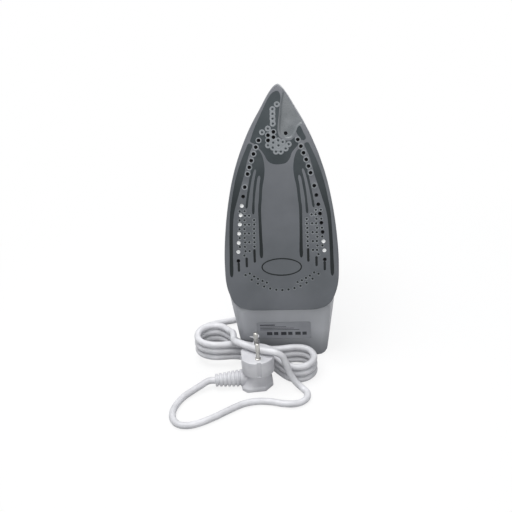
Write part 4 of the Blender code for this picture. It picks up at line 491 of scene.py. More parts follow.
def hank_path():
    """Three loops piled up, drawn in at the waist, each climbing along its front run."""
    centre, along, across = hank_frame()

    def place(a, b, z):
        return centre + along * a + across * b + Vector((0, 0, z))

    def on_run(a, side, z):
        opened = max(0.0, (abs(a) / HANK_HALF_RUN - HANK_HELD) / (1 - HANK_HELD))
        wide = HANK_WAIST + (HANK_FOLD - HANK_WAIST) * (1 - cos(pi * opened)) / 2
        return place(a, side * wide, z)

    def on_fold(side, turn, z):
        return place(side * HANK_HALF_RUN + HANK_FOLD * cos(turn), HANK_FOLD * sin(turn), z)

    points = [place(-HANK_HALF_RUN - CORD, HANK_FOLD, 0)]
    for loop in range(HANK_LOOPS):
        z = HANK_STEP * loop
        runs = [k / RUN_POINTS for k in range(RUN_POINTS)]
        folds = [pi * k / FOLD_POINTS for k in range(FOLD_POINTS)]
        points += [on_run(HANK_HALF_RUN * (2 * part - 1), 1, z) for part in runs]
        points += [on_fold(1, pi / 2 - turn, z) for turn in folds]
        points += [on_run(HANK_HALF_RUN * (1 - 2 * part), -1, z + HANK_STEP * part) for part in runs]
        points += [on_fold(-1, -pi / 2 - turn, z + HANK_STEP) for turn in folds]
    turns = [radians(degrees) for degrees in (90, 75, 60)]
    points += [on_fold(-1, turn, HANK_STEP * HANK_LOOPS) for turn in turns]
    leave = along * sin(turns[-1]) - across * cos(turns[-1])
    return points + [points[-1] + leave * CORD]


def lead_path():
    """The whole lead on one smooth line: from the bush, through the hank, to the plug."""
    start, way = bush_end()
    away = Vector((-cos(PLUG_TURN), -sin(PLUG_TURN), 0))
    mouth = Vector((*PLUG_CENTRE, PLUG_EXIT)) + away * (PLUG_BACK / 2 + PLUG_RELIEF)
    points = [start - way * LEAD_HIDDEN, start, start + way * CORD]
    points += [Vector(p) * MM for p in LEAD_ROUTE] + hank_path() + [Vector(p) * MM for p in TAIL_ROUTE]
    return curve_through(points + [mouth + away * CORD, mouth, mouth - away * LEAD_HIDDEN], PATH_STEP)


def make_lead(finish):
    """The lead as a round cord, and its length."""
    path = lead_path()
    curve = bpy.data.curves.new("mains_lead", "CURVE")
    curve.dimensions = "3D"
    curve.bevel_depth = CORD / 2
    curve.bevel_resolution = 5
    curve.use_fill_caps = True
    spline = curve.splines.new("POLY")
    spline.points.add(len(path) - 1)
    for target, point in zip(spline.points, path):
        target.co = (*point, 1.0)
    curve.materials.append(finish)
    lead = placed("mains_lead", curve)
    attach(lead, "iron")
    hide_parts("cord_lead", "cord_hank", "cord_tail")
    return lead, sum((b - a).length for a, b in zip(path, path[1:]))


# The strip's lower corners, high enough for its sag between them to end on the floor
TIE_WIRE, TIE_UNDER, TIE_SLACK, TIE_STEP = 0.0009, 0.00126, 0.0004, 0.0012
# Sections as (across the strip, through it) in mm: paper with the wire under its middle, and a tail
TIE_STRIP = ((-1.9, 0), (-1.6, 0.2), (-0.4, 0.2), (0, 0.5), (0.4, 0.2), (1.6, 0.2), (1.9, 0),
             (1.6, -0.2), (0, -0.3), (-1.6, -0.2))
TIE_TAIL = ((-1.0, 0), (0, 0.4), (1.0, 0), (0, -0.4))
# Both tails: where on the twist each starts and how far it leans at its end
TAIL_STARTS = ((0.0, 0.0026), (pi, -0.0030))
TAIL_PARTS, TAIL_TURN, TAIL_RISE = 25, 2.6 * pi, 0.0088
# The twist's radius, the share from which the tails spread, and how fast they do
TAIL_RADIUS, TAIL_SPREAD_FROM, TAIL_SPREAD = 0.0007, 0.7, 0.010


def make_tie(finish):
    """A paper-covered wire tie: flat strip round the waist, its ends twisted together upwards."""
    centre, along, across = hank_frame()
    side = HANK_WAIST + CORD / 2 + TIE_SLACK + TIE_WIRE / 2
    low = TIE_UNDER - centre.z
    top = HANK_STEP * (HANK_LOOPS - 0.5) + CORD / 2 + TIE_SLACK + TIE_WIRE / 2
    corner = CORD / 3
    inner = side - corner
    outline = [(inner, top), (side, top - corner), (side, low + corner), (inner, low),
               (-inner, low), (-side, low + corner), (-side, top - corner), (-inner, top)]
    rings = []
    loop = curve_through([centre + across * b + Vector((0, 0, z)) for b, z in outline], TIE_STEP, True)
    middle = centre + Vector((0, 0, (top + low) / 2))
    for k, point in enumerate(loop):
        ahead = (loop[(k + 1) % len(loop)] - loop[k - 1]).normalized()
        out = along.cross(ahead).normalized()
        if out.dot(point - middle) < 0:
            out = -out
        rings.append([point + along * a * MM + out * b * MM for a, b in TIE_STRIP])
    parts = [skin(rings, closed=True)]
    crown = centre + Vector((0, 0, top))
    for phase, lean in TAIL_STARTS:
        strip = []
        for k in range(TAIL_PARTS + 1):
            share = k / TAIL_PARTS
            turn = phase + share * TAIL_TURN
            flat = along * sin(turn) - across * cos(turn)
            thin = along * cos(turn) + across * sin(turn)
            spread = max(0.0, share - TAIL_SPREAD_FROM) * TAIL_SPREAD
            wide = TAIL_RADIUS * (1 - 0.2 * share) + spread
            point = crown + Vector((0, 0, TAIL_RISE * share)) + thin * wide + along * lean * share
            strip.append([point + flat * a * MM + thin * b * MM for a, b in TIE_TAIL])
        parts.append(skin(strip))
    return piece("twist_tie", joined(parts), "iron", finish, ("cord_tie",))


# The plug

PLUG_CENTRE, PLUG_TURN, PLUG_EXIT = (-0.0265, -0.1290), radians(8), 0.0089
PLUG_BACK, PLUG_BACK_HALF_WIDTH, PLUG_RELIEF = 0.0360, 0.0155, 0.0270
# How far the back reaches towards its corners, on the relief's side and on the far side
BACK_CORNER_NEAR, BACK_CORNER_FAR = 0.0285, 0.0215
PLUG_RADIUS, PLUG_HALF_FLATS = 0.01825, 0.0165
# The guide notch: angle that it takes from the rim, its mouth as (half width, reach), its floor
NOTCH_ANGLE, NOTCH_MOUTH, NOTCH_HALF, NOTCH_FLOOR = 0.14, (0.0022, 0.0181), 0.0019, 0.0160
# Share of full size and height in mm of each ring: back, ledge, waist and front part
BACK_RINGS = ((0.93, 0.0), (0.985, 0.35), (1.0, 1.1), (1.0, 3.7), (0.985, 4.4))
LEDGE_RING, WAIST_RING, WAIST_SHARES = (0.965, 4.8), (0.74, 14.0), (0.0, 0.15, 0.35, 0.6, 0.85, 1.0)
FRONT_RINGS = ((0.735, 16.4), (0.76, 18.2), (0.84, 19.1), (0.94, 19.6), (0.985, 20.1), (1.0, 20.9),
               (1.0, 36.5), (0.985, 37.4), (0.95, 37.85), (0.90, 38.0))
NOTCH_FROM_MM = 20
# The strain relief's ribs: how many, their widths at both ends and the depth between them
RIBS, RIB_FIRST, RIB_LAST, RIB_DEPTH = 6, 0.0172, 0.0132, 0.0014
# Its root inside the plug as (distance, radius), the collar before the ribs and the mouth's radius
RELIEF_ROOT, RELIEF_COLLAR, RELIEF_MOUTH = ((0.009, 0.0082), (0.0160, 0.0088)), 0.0012, 0.0056
# One rib as (share of the pitch, depth below its crest)
RIB_SHAPE = ((0.06, RIB_DEPTH), (0.30, RIB_DEPTH), (0.38, 0.0002), (0.48, 0.0), (0.84, 0.0),
             (0.94, 0.0002))
PIN_HALF_PITCH, PIN_FOOT, COLLAR_FOOT = 0.0095, 0.0380, 0.0379
PIN_PROFILE = ((0.0, 0.0020), (0.010, 0.0020), (0.0101, 0.0024), (0.0172, 0.0024), (0.0184, 0.0021),
               (0.0190, 0.0012))
COLLAR_PROFILE = ((0.0, 0.0031), (0.0010, 0.0030), (0.0013, 0.0025), (0.0013, 0.0020))


def plug_rim(scale, z, notched=True):
    """The plug's round front part, flat at both clips and notched for the socket's guides."""
    flat = asin(PLUG_HALF_FLATS / PLUG_RADIUS)
    deep = NOTCH_FLOOR if notched else PLUG_RADIUS - 0.00005
    half, reach = NOTCH_MOUTH
    points = []
    for side in (1, -1):
        middle = side * pi / 2
        for k in range(25):
            turn = middle + flat * (1 - k / 12)
            if abs(turn - middle) > NOTCH_ANGLE:
                points.append((PLUG_RADIUS * cos(turn), PLUG_RADIUS * sin(turn)))
            elif k == 12:
                points += [(-side * half, side * reach), (-side * NOTCH_HALF, side * deep),
                           (side * NOTCH_HALF, side * deep), (side * half, side * reach)]
    return [(a * scale, b * scale, z * MM) for a, b in points]


def plug_back(scale, z):
    """The plug's octagonal back, with as many points as the rim so that one skin covers both."""
    points = []
    for a, b, _ in plug_rim(1.0, 0, False):
        corner = BACK_CORNER_NEAR if a > 0 else BACK_CORNER_FAR
        reach = min(PLUG_BACK / 2 / max(abs(a), 1e-6), PLUG_BACK_HALF_WIDTH / max(abs(b), 1e-6),
                    corner / (abs(a) + abs(b)))
        points.append((a * reach * scale, b * reach * scale, z * MM))
    return points


def make_plug(made):
    """The moulded plug on its back: octagonal back, drawn-in waist and round notched front part."""
    away = Vector((-cos(PLUG_TURN), -sin(PLUG_TURN), 0))
    beside = Vector((-away.y, away.x, 0))
    turn = Matrix((away, beside, Vector((0, 0, 1)))).transposed().to_4x4()
    lying = Matrix.Translation(Vector((*PLUG_CENTRE, 0))) @ turn

    rings = [plug_back(*ring) for ring in BACK_RINGS]
    low, high = plug_back(*LEDGE_RING), plug_rim(*WAIST_RING, False)
    for share in WAIST_SHARES:
        ease = share ** 0.8
        rings.append([(a[0] + (b[0] - a[0]) * ease, a[1] + (b[1] - a[1]) * ease,
                       a[2] + (b[2] - a[2]) * share) for a, b in zip(low, high)])
    rings += [plug_rim(scale, z, z > NOTCH_FROM_MM) for scale, z in FRONT_RINGS]
    body = piece("plug_moulding", skin(rings), "iron", made["plug"], ("plug_body",),
                 lying, 34)

    start, end = PLUG_BACK / 2, PLUG_BACK / 2 + PLUG_RELIEF
    profile = [*RELIEF_ROOT, (start + 0.0008, 0.0087)]
    pitch = (PLUG_RELIEF - RELIEF_COLLAR) / RIBS
    for k in range(RIBS):
        crest = (RIB_FIRST + (RIB_LAST - RIB_FIRST) * k / (RIBS - 1)) / 2
        profile += [(start + RELIEF_COLLAR + pitch * (k + share), crest - deep)
                    for share, deep in RIB_SHAPE]
    profile += [(end, RELIEF_MOUTH), (end + 0.0002, CORD / 2)]
    ribbed = turned(profile, (0, 0, PLUG_EXIT), (1, 0, 0))
    relief = piece("plug_strain_relief", ribbed, "iron", made["plug"], (), lying)

    metal = (PIN_PROFILE, PIN_FOOT), (COLLAR_PROFILE, COLLAR_FOOT)
    pins = joined([turned(shape, (0, side * PIN_HALF_PITCH, foot), (0, 0, 1), 24)
                   for side in (-1, 1) for shape, foot in metal])
    contacts = piece("plug_contact_pins", pins, "iron", made["nickel"],
                     ("plug_pin_1", "plug_pin_2"), lying, 50)
    return [body, relief, contacts]


# The sole

SOLE_LENGTH, SOLE_HALF, SOLE_THICK = 236.0, 59.3, 3.2
# Half width at shares of the length, from the heel
SOLE_SHARES = (
    (0.0, 0.50), (0.004, 0.63), (0.015, 0.76), (0.035, 0.855), (0.06, 0.91), (0.10, 0.965),
    (0.14, 0.992), (0.19, 1.0), (0.26, 0.997), (0.34, 0.975), (0.42, 0.940), (0.50, 0.890),
    (0.58, 0.825), (0.66, 0.735), (0.74, 0.617), (0.82, 0.472), (0.90, 0.290), (0.965, 0.140),
    (0.992, 0.050),
)
# Points are (across, along) from the middle of the heel. The right half's print is mirrored
SIDE_BAND = (
    (26.3, 175.5), (30, 177), (33, 171.5), (38, 160), (42, 149), (45, 139), (47.4, 129), (49.4, 118),
    (51.6, 105), (53, 84), (53.8, 60), (53.8, 38.5), (52.4, 36.6), (51.1, 38.2), (50.2, 60),
    (49.4, 84), (47.5, 104), (43, 120.5), (38.9, 134), (35.8, 144), (33.7, 152.5), (31.5, 161),
    (29, 168),
)
INNER_BAND = (
    (20.4, 170.2), (22.9, 169), (25.5, 161.5), (27.5, 154.5), (29.3, 146.7), (30.8, 139), (32.5, 130),
    (34.5, 118), (35.4, 110.8), (34.4, 109.6), (33.3, 110.9), (32.1, 118.8), (29.6, 132.5),
    (27.7, 141.5), (25.6, 148.6), (24.4, 150.6), (23.3, 149.6), (24.9, 141.5), (26.5, 132.4),
    (27.9, 118.7), (28.7, 104.6), (27.7, 103.2), (26.7, 104.4), (25.7, 118.6), (23.5, 133.7),
    (21.8, 142.2), (20.4, 144), (19.3, 142.6), (20.4, 133.6), (21.6, 118.5), (22.5, 110.7),
    (22.5, 97.6), (22.3, 71.1), (22.0, 58.2), (20.6, 56.6), (19.3, 58.2), (19.4, 84), (19.4, 110),
    (18.6, 118), (17.2, 132.5), (15.5, 141), (14.6, 151.2), (15.7, 161), (18.4, 168.2),
)
# Print that isn't mirrored: left of the button groove and under it, and right of it
TIP_FIELD = (
    (0.4, 229.4), (2.6, 227.4), (3.6, 223), (2.7, 216), (1.6, 207), (0.4, 198), (-0.3, 190),
    (0.6, 184.4), (3.2, 181.2), (7.6, 179.2), (13.2, 179.6), (16.6, 182.2), (19.6, 178.6),
    (20.2, 174.8), (18.2, 172.4), (13.7, 167), (11.4, 161.2), (7.6, 156.6), (0, 154.9), (-7.4, 156),
    (-11.7, 159.4), (-13.8, 163.6), (-17.4, 169.4), (-21.2, 173.2), (-24.6, 176.6), (-28.3, 178.6),
    (-26.8, 184), (-24.1, 191.3), (-19.4, 201.3), (-14, 212.4), (-8.7, 222.3), (-4.6, 227.4),
)
RIGHT_FIELD = (
    (19.2, 192.4), (20.8, 194.2), (22.8, 193.4), (25.4, 187.6), (28, 181.6), (26.8, 179.4),
    (23.6, 179.4), (21.6, 182.4), (19.4, 185.4), (18.4, 188.4),
)
GROOVE = (
    (5.6, 229), (3.4, 218), (2.2, 208), (1.2, 198), (0.8, 188.6), (3, 183.7), (7.8, 181), (14, 182),
    (17.8, 187.2), (20.6, 193), (27, 197.4), (48, 206), (36, 250), (10, 248),
)
LIGHT_STRIP = (
    (-7.6, 209), (-7.2, 212.8), (-4.7, 213.9), (-2.4, 212.8), (-2.2, 209), (-2.4, 202), (-2.6, 196.4),
    (-3.4, 194.2), (-5.2, 193.4), (-6.8, 194.4), (-7.5, 196.6), (-7.6, 202),
)
LIGHT_PATCH = (
    (-8.6, 190.5), (-5.6, 190.2), (-4.2, 186), (-3.6, 181.4), (0, 179.6), (4.1, 177.4), (9.6, 175.2),
    (6.6, 171.6), (2.3, 168.8), (-2.5, 168.8), (-6.2, 171.8), (-9.6, 174.8), (-9.6, 180), (-9.2, 186),
)
BARS = ((27.8, 53.5, 65.5), (36.2, 48.6, 56.8), (44.6, 44.0, 51.4))
CLUSTER_DOTS = (
    (-10, 191.6), (-16, 187.9), (-5.0, 177.2), (0, 179.4), (4.6, 177.6), (-10.4, 174.6), (0.2, 174.2),
    (10.6, 175.3), (-5.6, 172.2), (-2.5, 168.0), (2.4, 167.9), (7.4, 170.9), (-0.3, 215.8),
    (-4.8, 211.0), (-4.9, 206.2), (-5.0, 201.4), (-4.9, 196.4),
)
TIP_HOLES = ((-4.5, 188.1), (-10.1, 184.8), (-4.6, 182.7), (-10.2, 179.6))
GROOVE_HOLE = (7.8, 186.4)
# Centre and half axes of the printed oval, and half the width of its line
ELLIPSE, ELLIPSE_LINE = (0.0, 47.2, 20.4, 8.9), 0.7
BAR_HALF = 1.25
# Spacing of points along outlines, prints and the small print
OUTLINE_STEP, PRINT_STEP, SMALL_STEP = 2.4, 1.6, 1.4
# Holes and dimples: bore, countersink, a dimple's ring and foot, and how deep both are sunk
BORE_RADIUS, SINK_RADIUS, DIMPLE_RADIUS, DIMPLE_FOOT, SINK_DEPTH = 1.3, 1.95, 1.2, 0.6, 0.45
BORE_SIDES, DIMPLE_SIDES, HALO_SIDES, OVAL_SIDES = 18, 12, 24, 72
# Raised rims: round a dimple, and the crest of the halo round the holes and dots of the front half
RIM_RISE, HALO_RADIUS, CREST_RADIUS, CREST_RISE, HALO_FROM = 0.08, 3.0, 2.5, 0.16, 125
BORE_FLOOR, SCALE_FLOOR = 2.9, 0.12
# The recess: how deep it is, and the insets of the loops that its slope is cut along
GROOVE_DEPTH, GROOVE_INSETS = 1.25, (0.0, 0.7, 1.5, 2.4)
# The rolled edge from the face to the back, as (inset from the outline, depth)
EDGE = ((1.5, 0.0), (0.8, 0.10), (0.35, 0.40), (0.08, 0.95), (0.0, 1.6), (0.0, 3.2))
# The two rows of steam holes on each side: how many, and where each starts and ends as a share
HOLE_ROWS, HOLE_INSET = ((9, 0.231, 0.560), (6, 0.617, 0.762)), 14.4
# Which holes of the first row hold scale, on the left and on the right
SCALED_LEFT, SCALED_RIGHT = (1, 2, 3, 4, 5, 6), (1, 2)
# Rows of dimples beside the inner band, and how far across those of even and odd rows lie
DOT_ROWS, DOT_START, DOT_STEP = 10, 64.7, 4.7
DOTS_EVEN, DOTS_ODD = (37.0, 32.8, 27.4), (42.6, 37.6, 27.6)
# The innermost dimples are only in the rows between these; past the last number all lean inwards
DOT_INNER, INNER_FROM, INNER_TO, LEAN_FROM, DOT_LEAN = 30, 68, 100, 85, 0.045
LONE_DOT = (38.4, 60.1)
# The arc of dimples along the heel and the shorter one inside it; both rise towards the sides
ARC_DOTS, ARC_HALF, ARC_START, SHORT_ARC, SHORT_START = 13, 38, 22.2, (16, 20.5, 25, 29, 33.5), 27.5
ARC_RISE, ARC_REACH = 16, 37
# The sole's finishes, in the order of its materials
COAT, WEB_HIGHLIGHT, PRINT, INK, RECESS, BORE_SHADE, SCALE = range(7)


def half_width(share):
    """Half the sole's width, as a share of the widest, at a share of its length."""
    table = np.array(SOLE_SHARES + ((1.0, 0.0),))
    return float(np.interp(share, table[:, 0], table[:, 1]))


def smooth_loop(points, step):
    """A smooth closed line through flat points."""
    return [(p.x, p.y) for p in curve_through([(x, y, 0) for x, y in points], step, closed=True)]


def anticlockwise(loop):
    loop = np.array(loop)
    twice_area = (loop[:, 0] * np.roll(loop[:, 1], -1) - np.roll(loop[:, 0], -1) * loop[:, 1]).sum()
    return loop if twice_area > 0 else loop[::-1]


def sole_outline():
    """The sole's outline, its heel cut straight."""
    right = [(w * SOLE_HALF, s * SOLE_LENGTH) for s, w in SOLE_SHARES]
    points = right + [(0.0, SOLE_LENGTH)] + [(-x, s) for x, s in reversed(right)]
    return anticlockwise([(x, max(0.0, s)) for x, s in smooth_loop(points, OUTLINE_STEP)])


def shifted(loop, inset):
    """A closed loop moved inwards by an inset; the loop runs anticlockwise."""
    pts = np.array(loop)
    before, after = pts - np.roll(pts, 1, 0), np.roll(pts, -1, 0) - pts
    normals = []
    for edge in (before, after):
        length = np.hypot(edge[:, 0], edge[:, 1])[:, None]
        normals.append(np.stack([-edge[:, 1], edge[:, 0]], 1) / np.maximum(length, 1e-9))
    mean = normals[0] + normals[1]
    mean /= np.maximum(np.hypot(mean[:, 0], mean[:, 1])[:, None], 1e-9)
    cosine = np.maximum((mean * normals[0]).sum(1), 0.45)[:, None]
    return pts + mean / cosine * np.asarray(inset).reshape(-1, 1)


def circle(centre, radius, sides):
    return [(centre[0] + radius * cos(2 * pi * k / sides),
             centre[1] + radius * sin(2 * pi * k / sides)) for k in range(sides)]


def within(points, loop):
    """Which points lie inside a closed loop."""
    a = np.array(loop)
    b = np.roll(a, -1, 0)
    x, y = points[:, :1], points[:, 1:]
    rise = np.where(np.abs(b[:, 1] - a[:, 1]) < 1e-12, 1e-12, b[:, 1] - a[:, 1])
    spans = (a[:, 1] > y) != (b[:, 1] > y)
    crossed = spans & (x < (b[:, 0] - a[:, 0]) * (y - a[:, 1]) / rise + a[:, 0])
    return crossed.sum(1) % 2 == 1


def distance(points, spot):
    return np.hypot(points[:, 0] - spot[0], points[:, 1] - spot[1])


def edge_distance(points, loop):
    """How far each point is from a closed loop."""
    a = np.array(loop)
    d = np.roll(a, -1, 0) - a
    rel = points[:, None, :] - a[None]
    t = np.clip((rel * d).sum(2) / np.maximum((d * d).sum(1), 1e-12), 0, 1)
    gap = rel - d[None] * t[:, :, None]
    return np.hypot(gap[:, :, 0], gap[:, :, 1]).min(1)


def groove_depth(points, groove):
    """The recess goes down in an S from its edge to its floor."""
    share = np.where(within(points, groove), edge_distance(points, groove), 0.0) / GROOVE_INSETS[-1]
    share = np.clip(share, 0, 1)
    return GROOVE_DEPTH * share * share * (3 - 2 * share)


def steam_holes():
    """Every hole as (across, along, filled with scale or not)."""
    places = []
    for row, (count, start, end) in enumerate(HOLE_ROWS):
        for k in range(count):
            share = start + (end - start) * k / (count - 1)
            across = SOLE_HALF * half_width(share) - HOLE_INSET
            for side, scaled in ((-1, SCALED_LEFT), (1, SCALED_RIGHT)):
                places.append((side * across, share * SOLE_LENGTH, row == 0 and k in scaled))
    return places + [(x, s, False) for x, s in TIP_HOLES + (GROOVE_HOLE,)]


def field_dots():
    """Small dimples: staggered rows beside the inner band, and an arc and a half along the heel."""
    dots = []
    for k in range(DOT_ROWS):
        along = DOT_START + DOT_STEP * k
        lean = DOT_LEAN * max(0.0, along - LEAN_FROM)
        for across in DOTS_ODD if k % 2 else DOTS_EVEN:
            if across > DOT_INNER or INNER_FROM <= along <= INNER_TO:
                dots += [(side * (across - lean), along) for side in (-1, 1)]
    dots += [(side * LONE_DOT[0], LONE_DOT[1]) for side in (-1, 1)]
    arc = [(ARC_HALF * (2 * k / (ARC_DOTS - 1) - 1), ARC_START) for k in range(ARC_DOTS)]
    arc += [(side * across, SHORT_START) for across in SHORT_ARC for side in (-1, 1)]
    return dots + [(across, start + (across / ARC_REACH) ** 2 * ARC_RISE) for across, start in arc]


def print_loops():
    """The slate print's fields, the dark bars and both edges of the oval's line."""
    fields = [smooth_loop([(x * side, s) for x, s in loop], PRINT_STEP)
              for loop in (SIDE_BAND, INNER_BAND) for side in (-1, 1)]
    fields += [smooth_loop(TIP_FIELD, PRINT_STEP), smooth_loop(RIGHT_FIELD, SMALL_STEP)]
    turns = [pi * (k + 0.5) / 7 for k in range(14)]
    bars = [[(side * across + BAR_HALF * cos(t),
              (high if sin(t) > 0 else low) + BAR_HALF * sin(t)) for t in turns]
            for across, low, high in BARS for side in (-1, 1)]
    cx, cz, a, b = ELLIPSE
    turns = [2 * pi * k / OVAL_SIDES for k in range(OVAL_SIDES)]
    oval = [[(cx + (a + d) * cos(t), cz + (b + d) * sin(t)) for t in turns]
            for d in (ELLIPSE_LINE, -ELLIPSE_LINE)]
    return fields, bars, oval


def cut_face(loops, face_loop, holes):
    """The sole's face as triangles cut along every loop: points, corners and middles."""
    spots, edges = [], []
    for loop in loops:
        start = len(spots)
        spots += [Vector(p) for p in loop]
        edges += [(start + k, start + (k + 1) % len(loop)) for k in range(len(loop))]
    coords, _, triangles, _, _, _ = delaunay_2d_cdt(spots, edges, [], 0, 1e-5)
    flat = np.array([(p.x, p.y) for p in coords])
    corners = np.array([t[:3] for t in triangles])
    middles = flat[corners].mean(1)
    keep = within(middles, face_loop)
    for hole in holes:
        keep &= distance(middles, hole) > BORE_RADIUS - 0.01
    return flat, corners[keep], middles[keep]


def face_depth(flat, groove, holes, dots, halo_spots):
    """How deep each point of the face lies: the recess, countersinks, dimples and raised rims."""
    # The small margins only pick the points that lie on a circle
    depth = groove_depth(flat, groove)
    for hole in holes:
        depth += np.where(distance(flat, hole) < BORE_RADIUS + 0.05, SINK_DEPTH, 0.0)
    for dot in dots:
        away = distance(flat, dot)
        depth += np.where(away < DIMPLE_FOOT + 0.1, SINK_DEPTH, 0.0)
        depth -= np.where(np.abs(away - SINK_RADIUS) < 0.02, RIM_RISE, 0.0)
    for spot in halo_spots:
        depth -= np.where(np.abs(distance(flat, spot) - CREST_RADIUS) < 0.03, CREST_RISE, 0.0)
    return depth


def face_kinds(middles, painted, oval, groove, holes, dots):
    """Which finish each triangle of the face has; a later one covers an earlier one."""
    finish = np.zeros(len(middles), int)
    for kind, loops in painted:
        for loop in loops:
            finish[within(middles, loop)] = kind
    finish[within(middles, oval[0]) & ~within(middles, oval[1])] = INK
    finish[within(middles, groove)] = RECESS
    # A ring of the lighter finish round each dimple on the plain coat is a painted highlight
    for dot in field_dots():
        finish[(distance(middles, dot) < SINK_RADIUS - 0.05) & (finish == COAT)] = WEB_HIGHLIGHT
    # The print's finish on each dimple's floor is painted shade
    for dot in dots:
        finish[distance(middles, dot) < DIMPLE_RADIUS - 0.05] = PRINT
    # Countersinks without scale take the bore's near-black finish: painted shade at the hole's mouth
    for hole in holes:
        finish[distance(middles, hole) < SINK_RADIUS - 0.05] = SCALE if hole[2] else BORE_SHADE
    return finish


def sole_edge(outline, groove):
    """The rolled edge with the back; the recess runs out through it at the tip."""
    rings = []
    for inset, depth in EDGE:
        loop = shifted(outline, inset)
        dip = groove_depth(loop, groove) * (1 - depth / SOLE_THICK)
        rings.append([(x * MM, (depth + d) * MM, s * MM) for (x, s), d in zip(loop, dip)])
    verts, faces = skin(rings, caps=False)
    return verts, faces + [tuple(range(len(verts) - len(outline), len(verts)))]


def hole_shaft(hole, groove):
    """A bore from its countersink down to its floor, which is high where scale fills it."""
    top = SINK_DEPTH + float(groove_depth(np.array([hole[:2]]), groove)[0])
    floor = top + SCALE_FLOOR if hole[2] else BORE_FLOOR
    verts, faces = skin([[(x * MM, h * MM, s * MM) for x, s in circle(hole, BORE_RADIUS, BORE_SIDES)]
                         for h in (top, floor)], caps=False)
    # Unless scale fills it, the cap that closes the bore is a sheet standing for the shade down the
    # real hole
    return verts, faces + [tuple(range(BORE_SIDES, 2 * BORE_SIDES))]


def make_sole(made):
    """The coated sole: printed fields, drilled and countersunk holes, dimples and the recess."""
    outline = sole_outline()
    face_loop = shifted(outline, EDGE[0][0])
    fields, bars, oval = print_loops()
    groove = smooth_loop(GROOVE, PRINT_STEP)
    lights = [smooth_loop(LIGHT_STRIP, SMALL_STEP), smooth_loop(LIGHT_PATCH, PRINT_STEP)]
    holes, dots = steam_holes(), list(CLUSTER_DOTS) + field_dots()
    halo_spots = [(x, s) for x, s, _ in holes if s > HALO_FROM and (x, s) != GROOVE_HOLE]
    halo_spots += CLUSTER_DOTS
    halos, crests = ([circle(spot, radius, HALO_SIDES) for spot in halo_spots]
                     for radius in (HALO_RADIUS, CREST_RADIUS))

    loops = [face_loop.tolist()] + fields + bars + oval + halos + crests + lights
    for inset in GROOVE_INSETS:
        loops.append([tuple(p) for p in shifted(anticlockwise(groove), inset)
                      if inset == 0 or within(np.array([p]), outline)[0]])
    for hole in holes:
        loops += [circle(hole, radius, BORE_SIDES) for radius in (SINK_RADIUS, BORE_RADIUS)]
    for dot in dots:
        loops += [circle(dot, SINK_RADIUS, DIMPLE_SIDES), circle(dot, DIMPLE_RADIUS, DIMPLE_SIDES),
                  circle(dot, DIMPLE_FOOT, DIMPLE_SIDES - 2)]
    flat, corners, middles = cut_face(loops, face_loop, holes)
    depth = face_depth(flat, groove, holes, dots, halo_spots)
    # The halos and light patches take the coat's painted highlight
    painted = (PRINT, fields), (WEB_HIGHLIGHT, halos + lights), (INK, bars)
    finish = face_kinds(middles, painted, oval, groove, holes, dots)

    parts = [([(x * MM, d * MM, s * MM) for (x, s), d in zip(flat, depth)],
              [tuple(int(v) for v in triangle) for triangle in corners]), sole_edge(outline, groove)]
    kinds = list(finish) + [COAT] * len(parts[1][1])
    # Bore walls and floors without scale are painted shade
    for hole in holes:
        parts.append(hole_shaft(hole, groove))
        kinds += [BORE_SHADE] * BORE_SIDES + [SCALE if hole[2] else BORE_SHADE]
    order = [made[k] for k in ("coat", "web_highlight", "print", "ink", "groove", "bore", "scale")]
    return piece("ceramic_sole", joined(parts), "iron", order, ("soleplate",),
                 STANCE, 24, kinds)


# The modelled nodes

NODES_OF_FINISH = {
    "cast": "heater_casting",
    "steel": "heating_element steam_chamber_cover filler_door_pin valve_rod spray_spring "
             "steam_burst_spring thermostat_spindle thermal_fuse housing_screw_1 housing_screw_2 "
             "cover_screw_1 cover_screw_2 cover_screw_3 cover_screw_4",
    "brass": "heater_terminal_1 heater_terminal_2 pilot_lamp",
    "fibre": "insulation_sheet",
    "toe": "lower_housing",
    "label": "rating_plate",
    "shell": "rear_housing rear_deck front_deck spray_nozzle handle_base",
    "tank": "water_tank",
    "silicone": "tank_gasket drip_valve",
    "trim": "filler_door handle_cover steam_knob spray_button steam_burst_button thermostat_dial "
            "cord_bush",
    "grip": "handle_grip",
    "phenolic": "spray_pump steam_burst_pump thermostat terminal_block mains_wire_1 mains_wire_2 "
                "mains_wire_3 cord_clamp",
    "lens": "pilot_lens",
    "nickel": "plug_earth_clip_1 plug_earth_clip_2",
}
NODE_FINISH = {node: finish for finish, nodes in NODES_OF_FINISH.items() for node in nodes.split()}
# Shells and keys shown with a real moulding's rounded edges: node, piece, body, radius in mm
MOULDINGS = (
    ("lower_housing", "toe_moulding", "iron", 0.6),
    ("rear_housing", "rear_shell_moulding", "iron", 0.6),
    ("rear_deck", "rear_deck_moulding", "iron", 0.9),
    ("front_deck", "front_deck_moulding", "iron", 0.6),
    ("handle_base", "handle_base_moulding", "iron", 0.5),
    ("handle_cover", "handle_cover_moulding", "iron", 0.5),
    ("handle_grip", "handle_grip_pad", "iron", 0.8),
    ("water_tank", "water_tank_moulding", "iron", 0.8),
    ("spray_nozzle", "spray_nozzle_moulding", "iron", 0.5),
    ("steam_knob", "steam_knob_moulding", "steam_control", 0.3),
    ("thermostat_dial", "thermostat_dial_moulding", "heat_dial", 0.6),
    ("spray_button", "spray_button_cap", "spray_key", 0.35),
    ("steam_burst_button", "steam_burst_button_cap", "burst_key", 0.35),
    ("filler_door", "filler_door_moulding", "tank_door", 0.3),
    ("pilot_lens", "pilot_lens_dome", "iron", 0.2),
    ("cord_bush", "cord_bush_sleeve", "lead_bush", 0.3),
)

# Edges sharper than this are rounded where the room beside them is this many radii
SHARP, ROOM = radians(28), 2.2
# Points this close are one, and faces this nearly level are one
NODE_WELD, LEVEL = 0.00002, radians(1)


def sharp(edge):
    """Between two faces that meet at a marked angle."""
    return len(edge.link_faces) == 2 and edge.calc_face_angle(0) > SHARP


def neighbours(edge):
    return [near for vertex in edge.verts for near in vertex.link_edges]


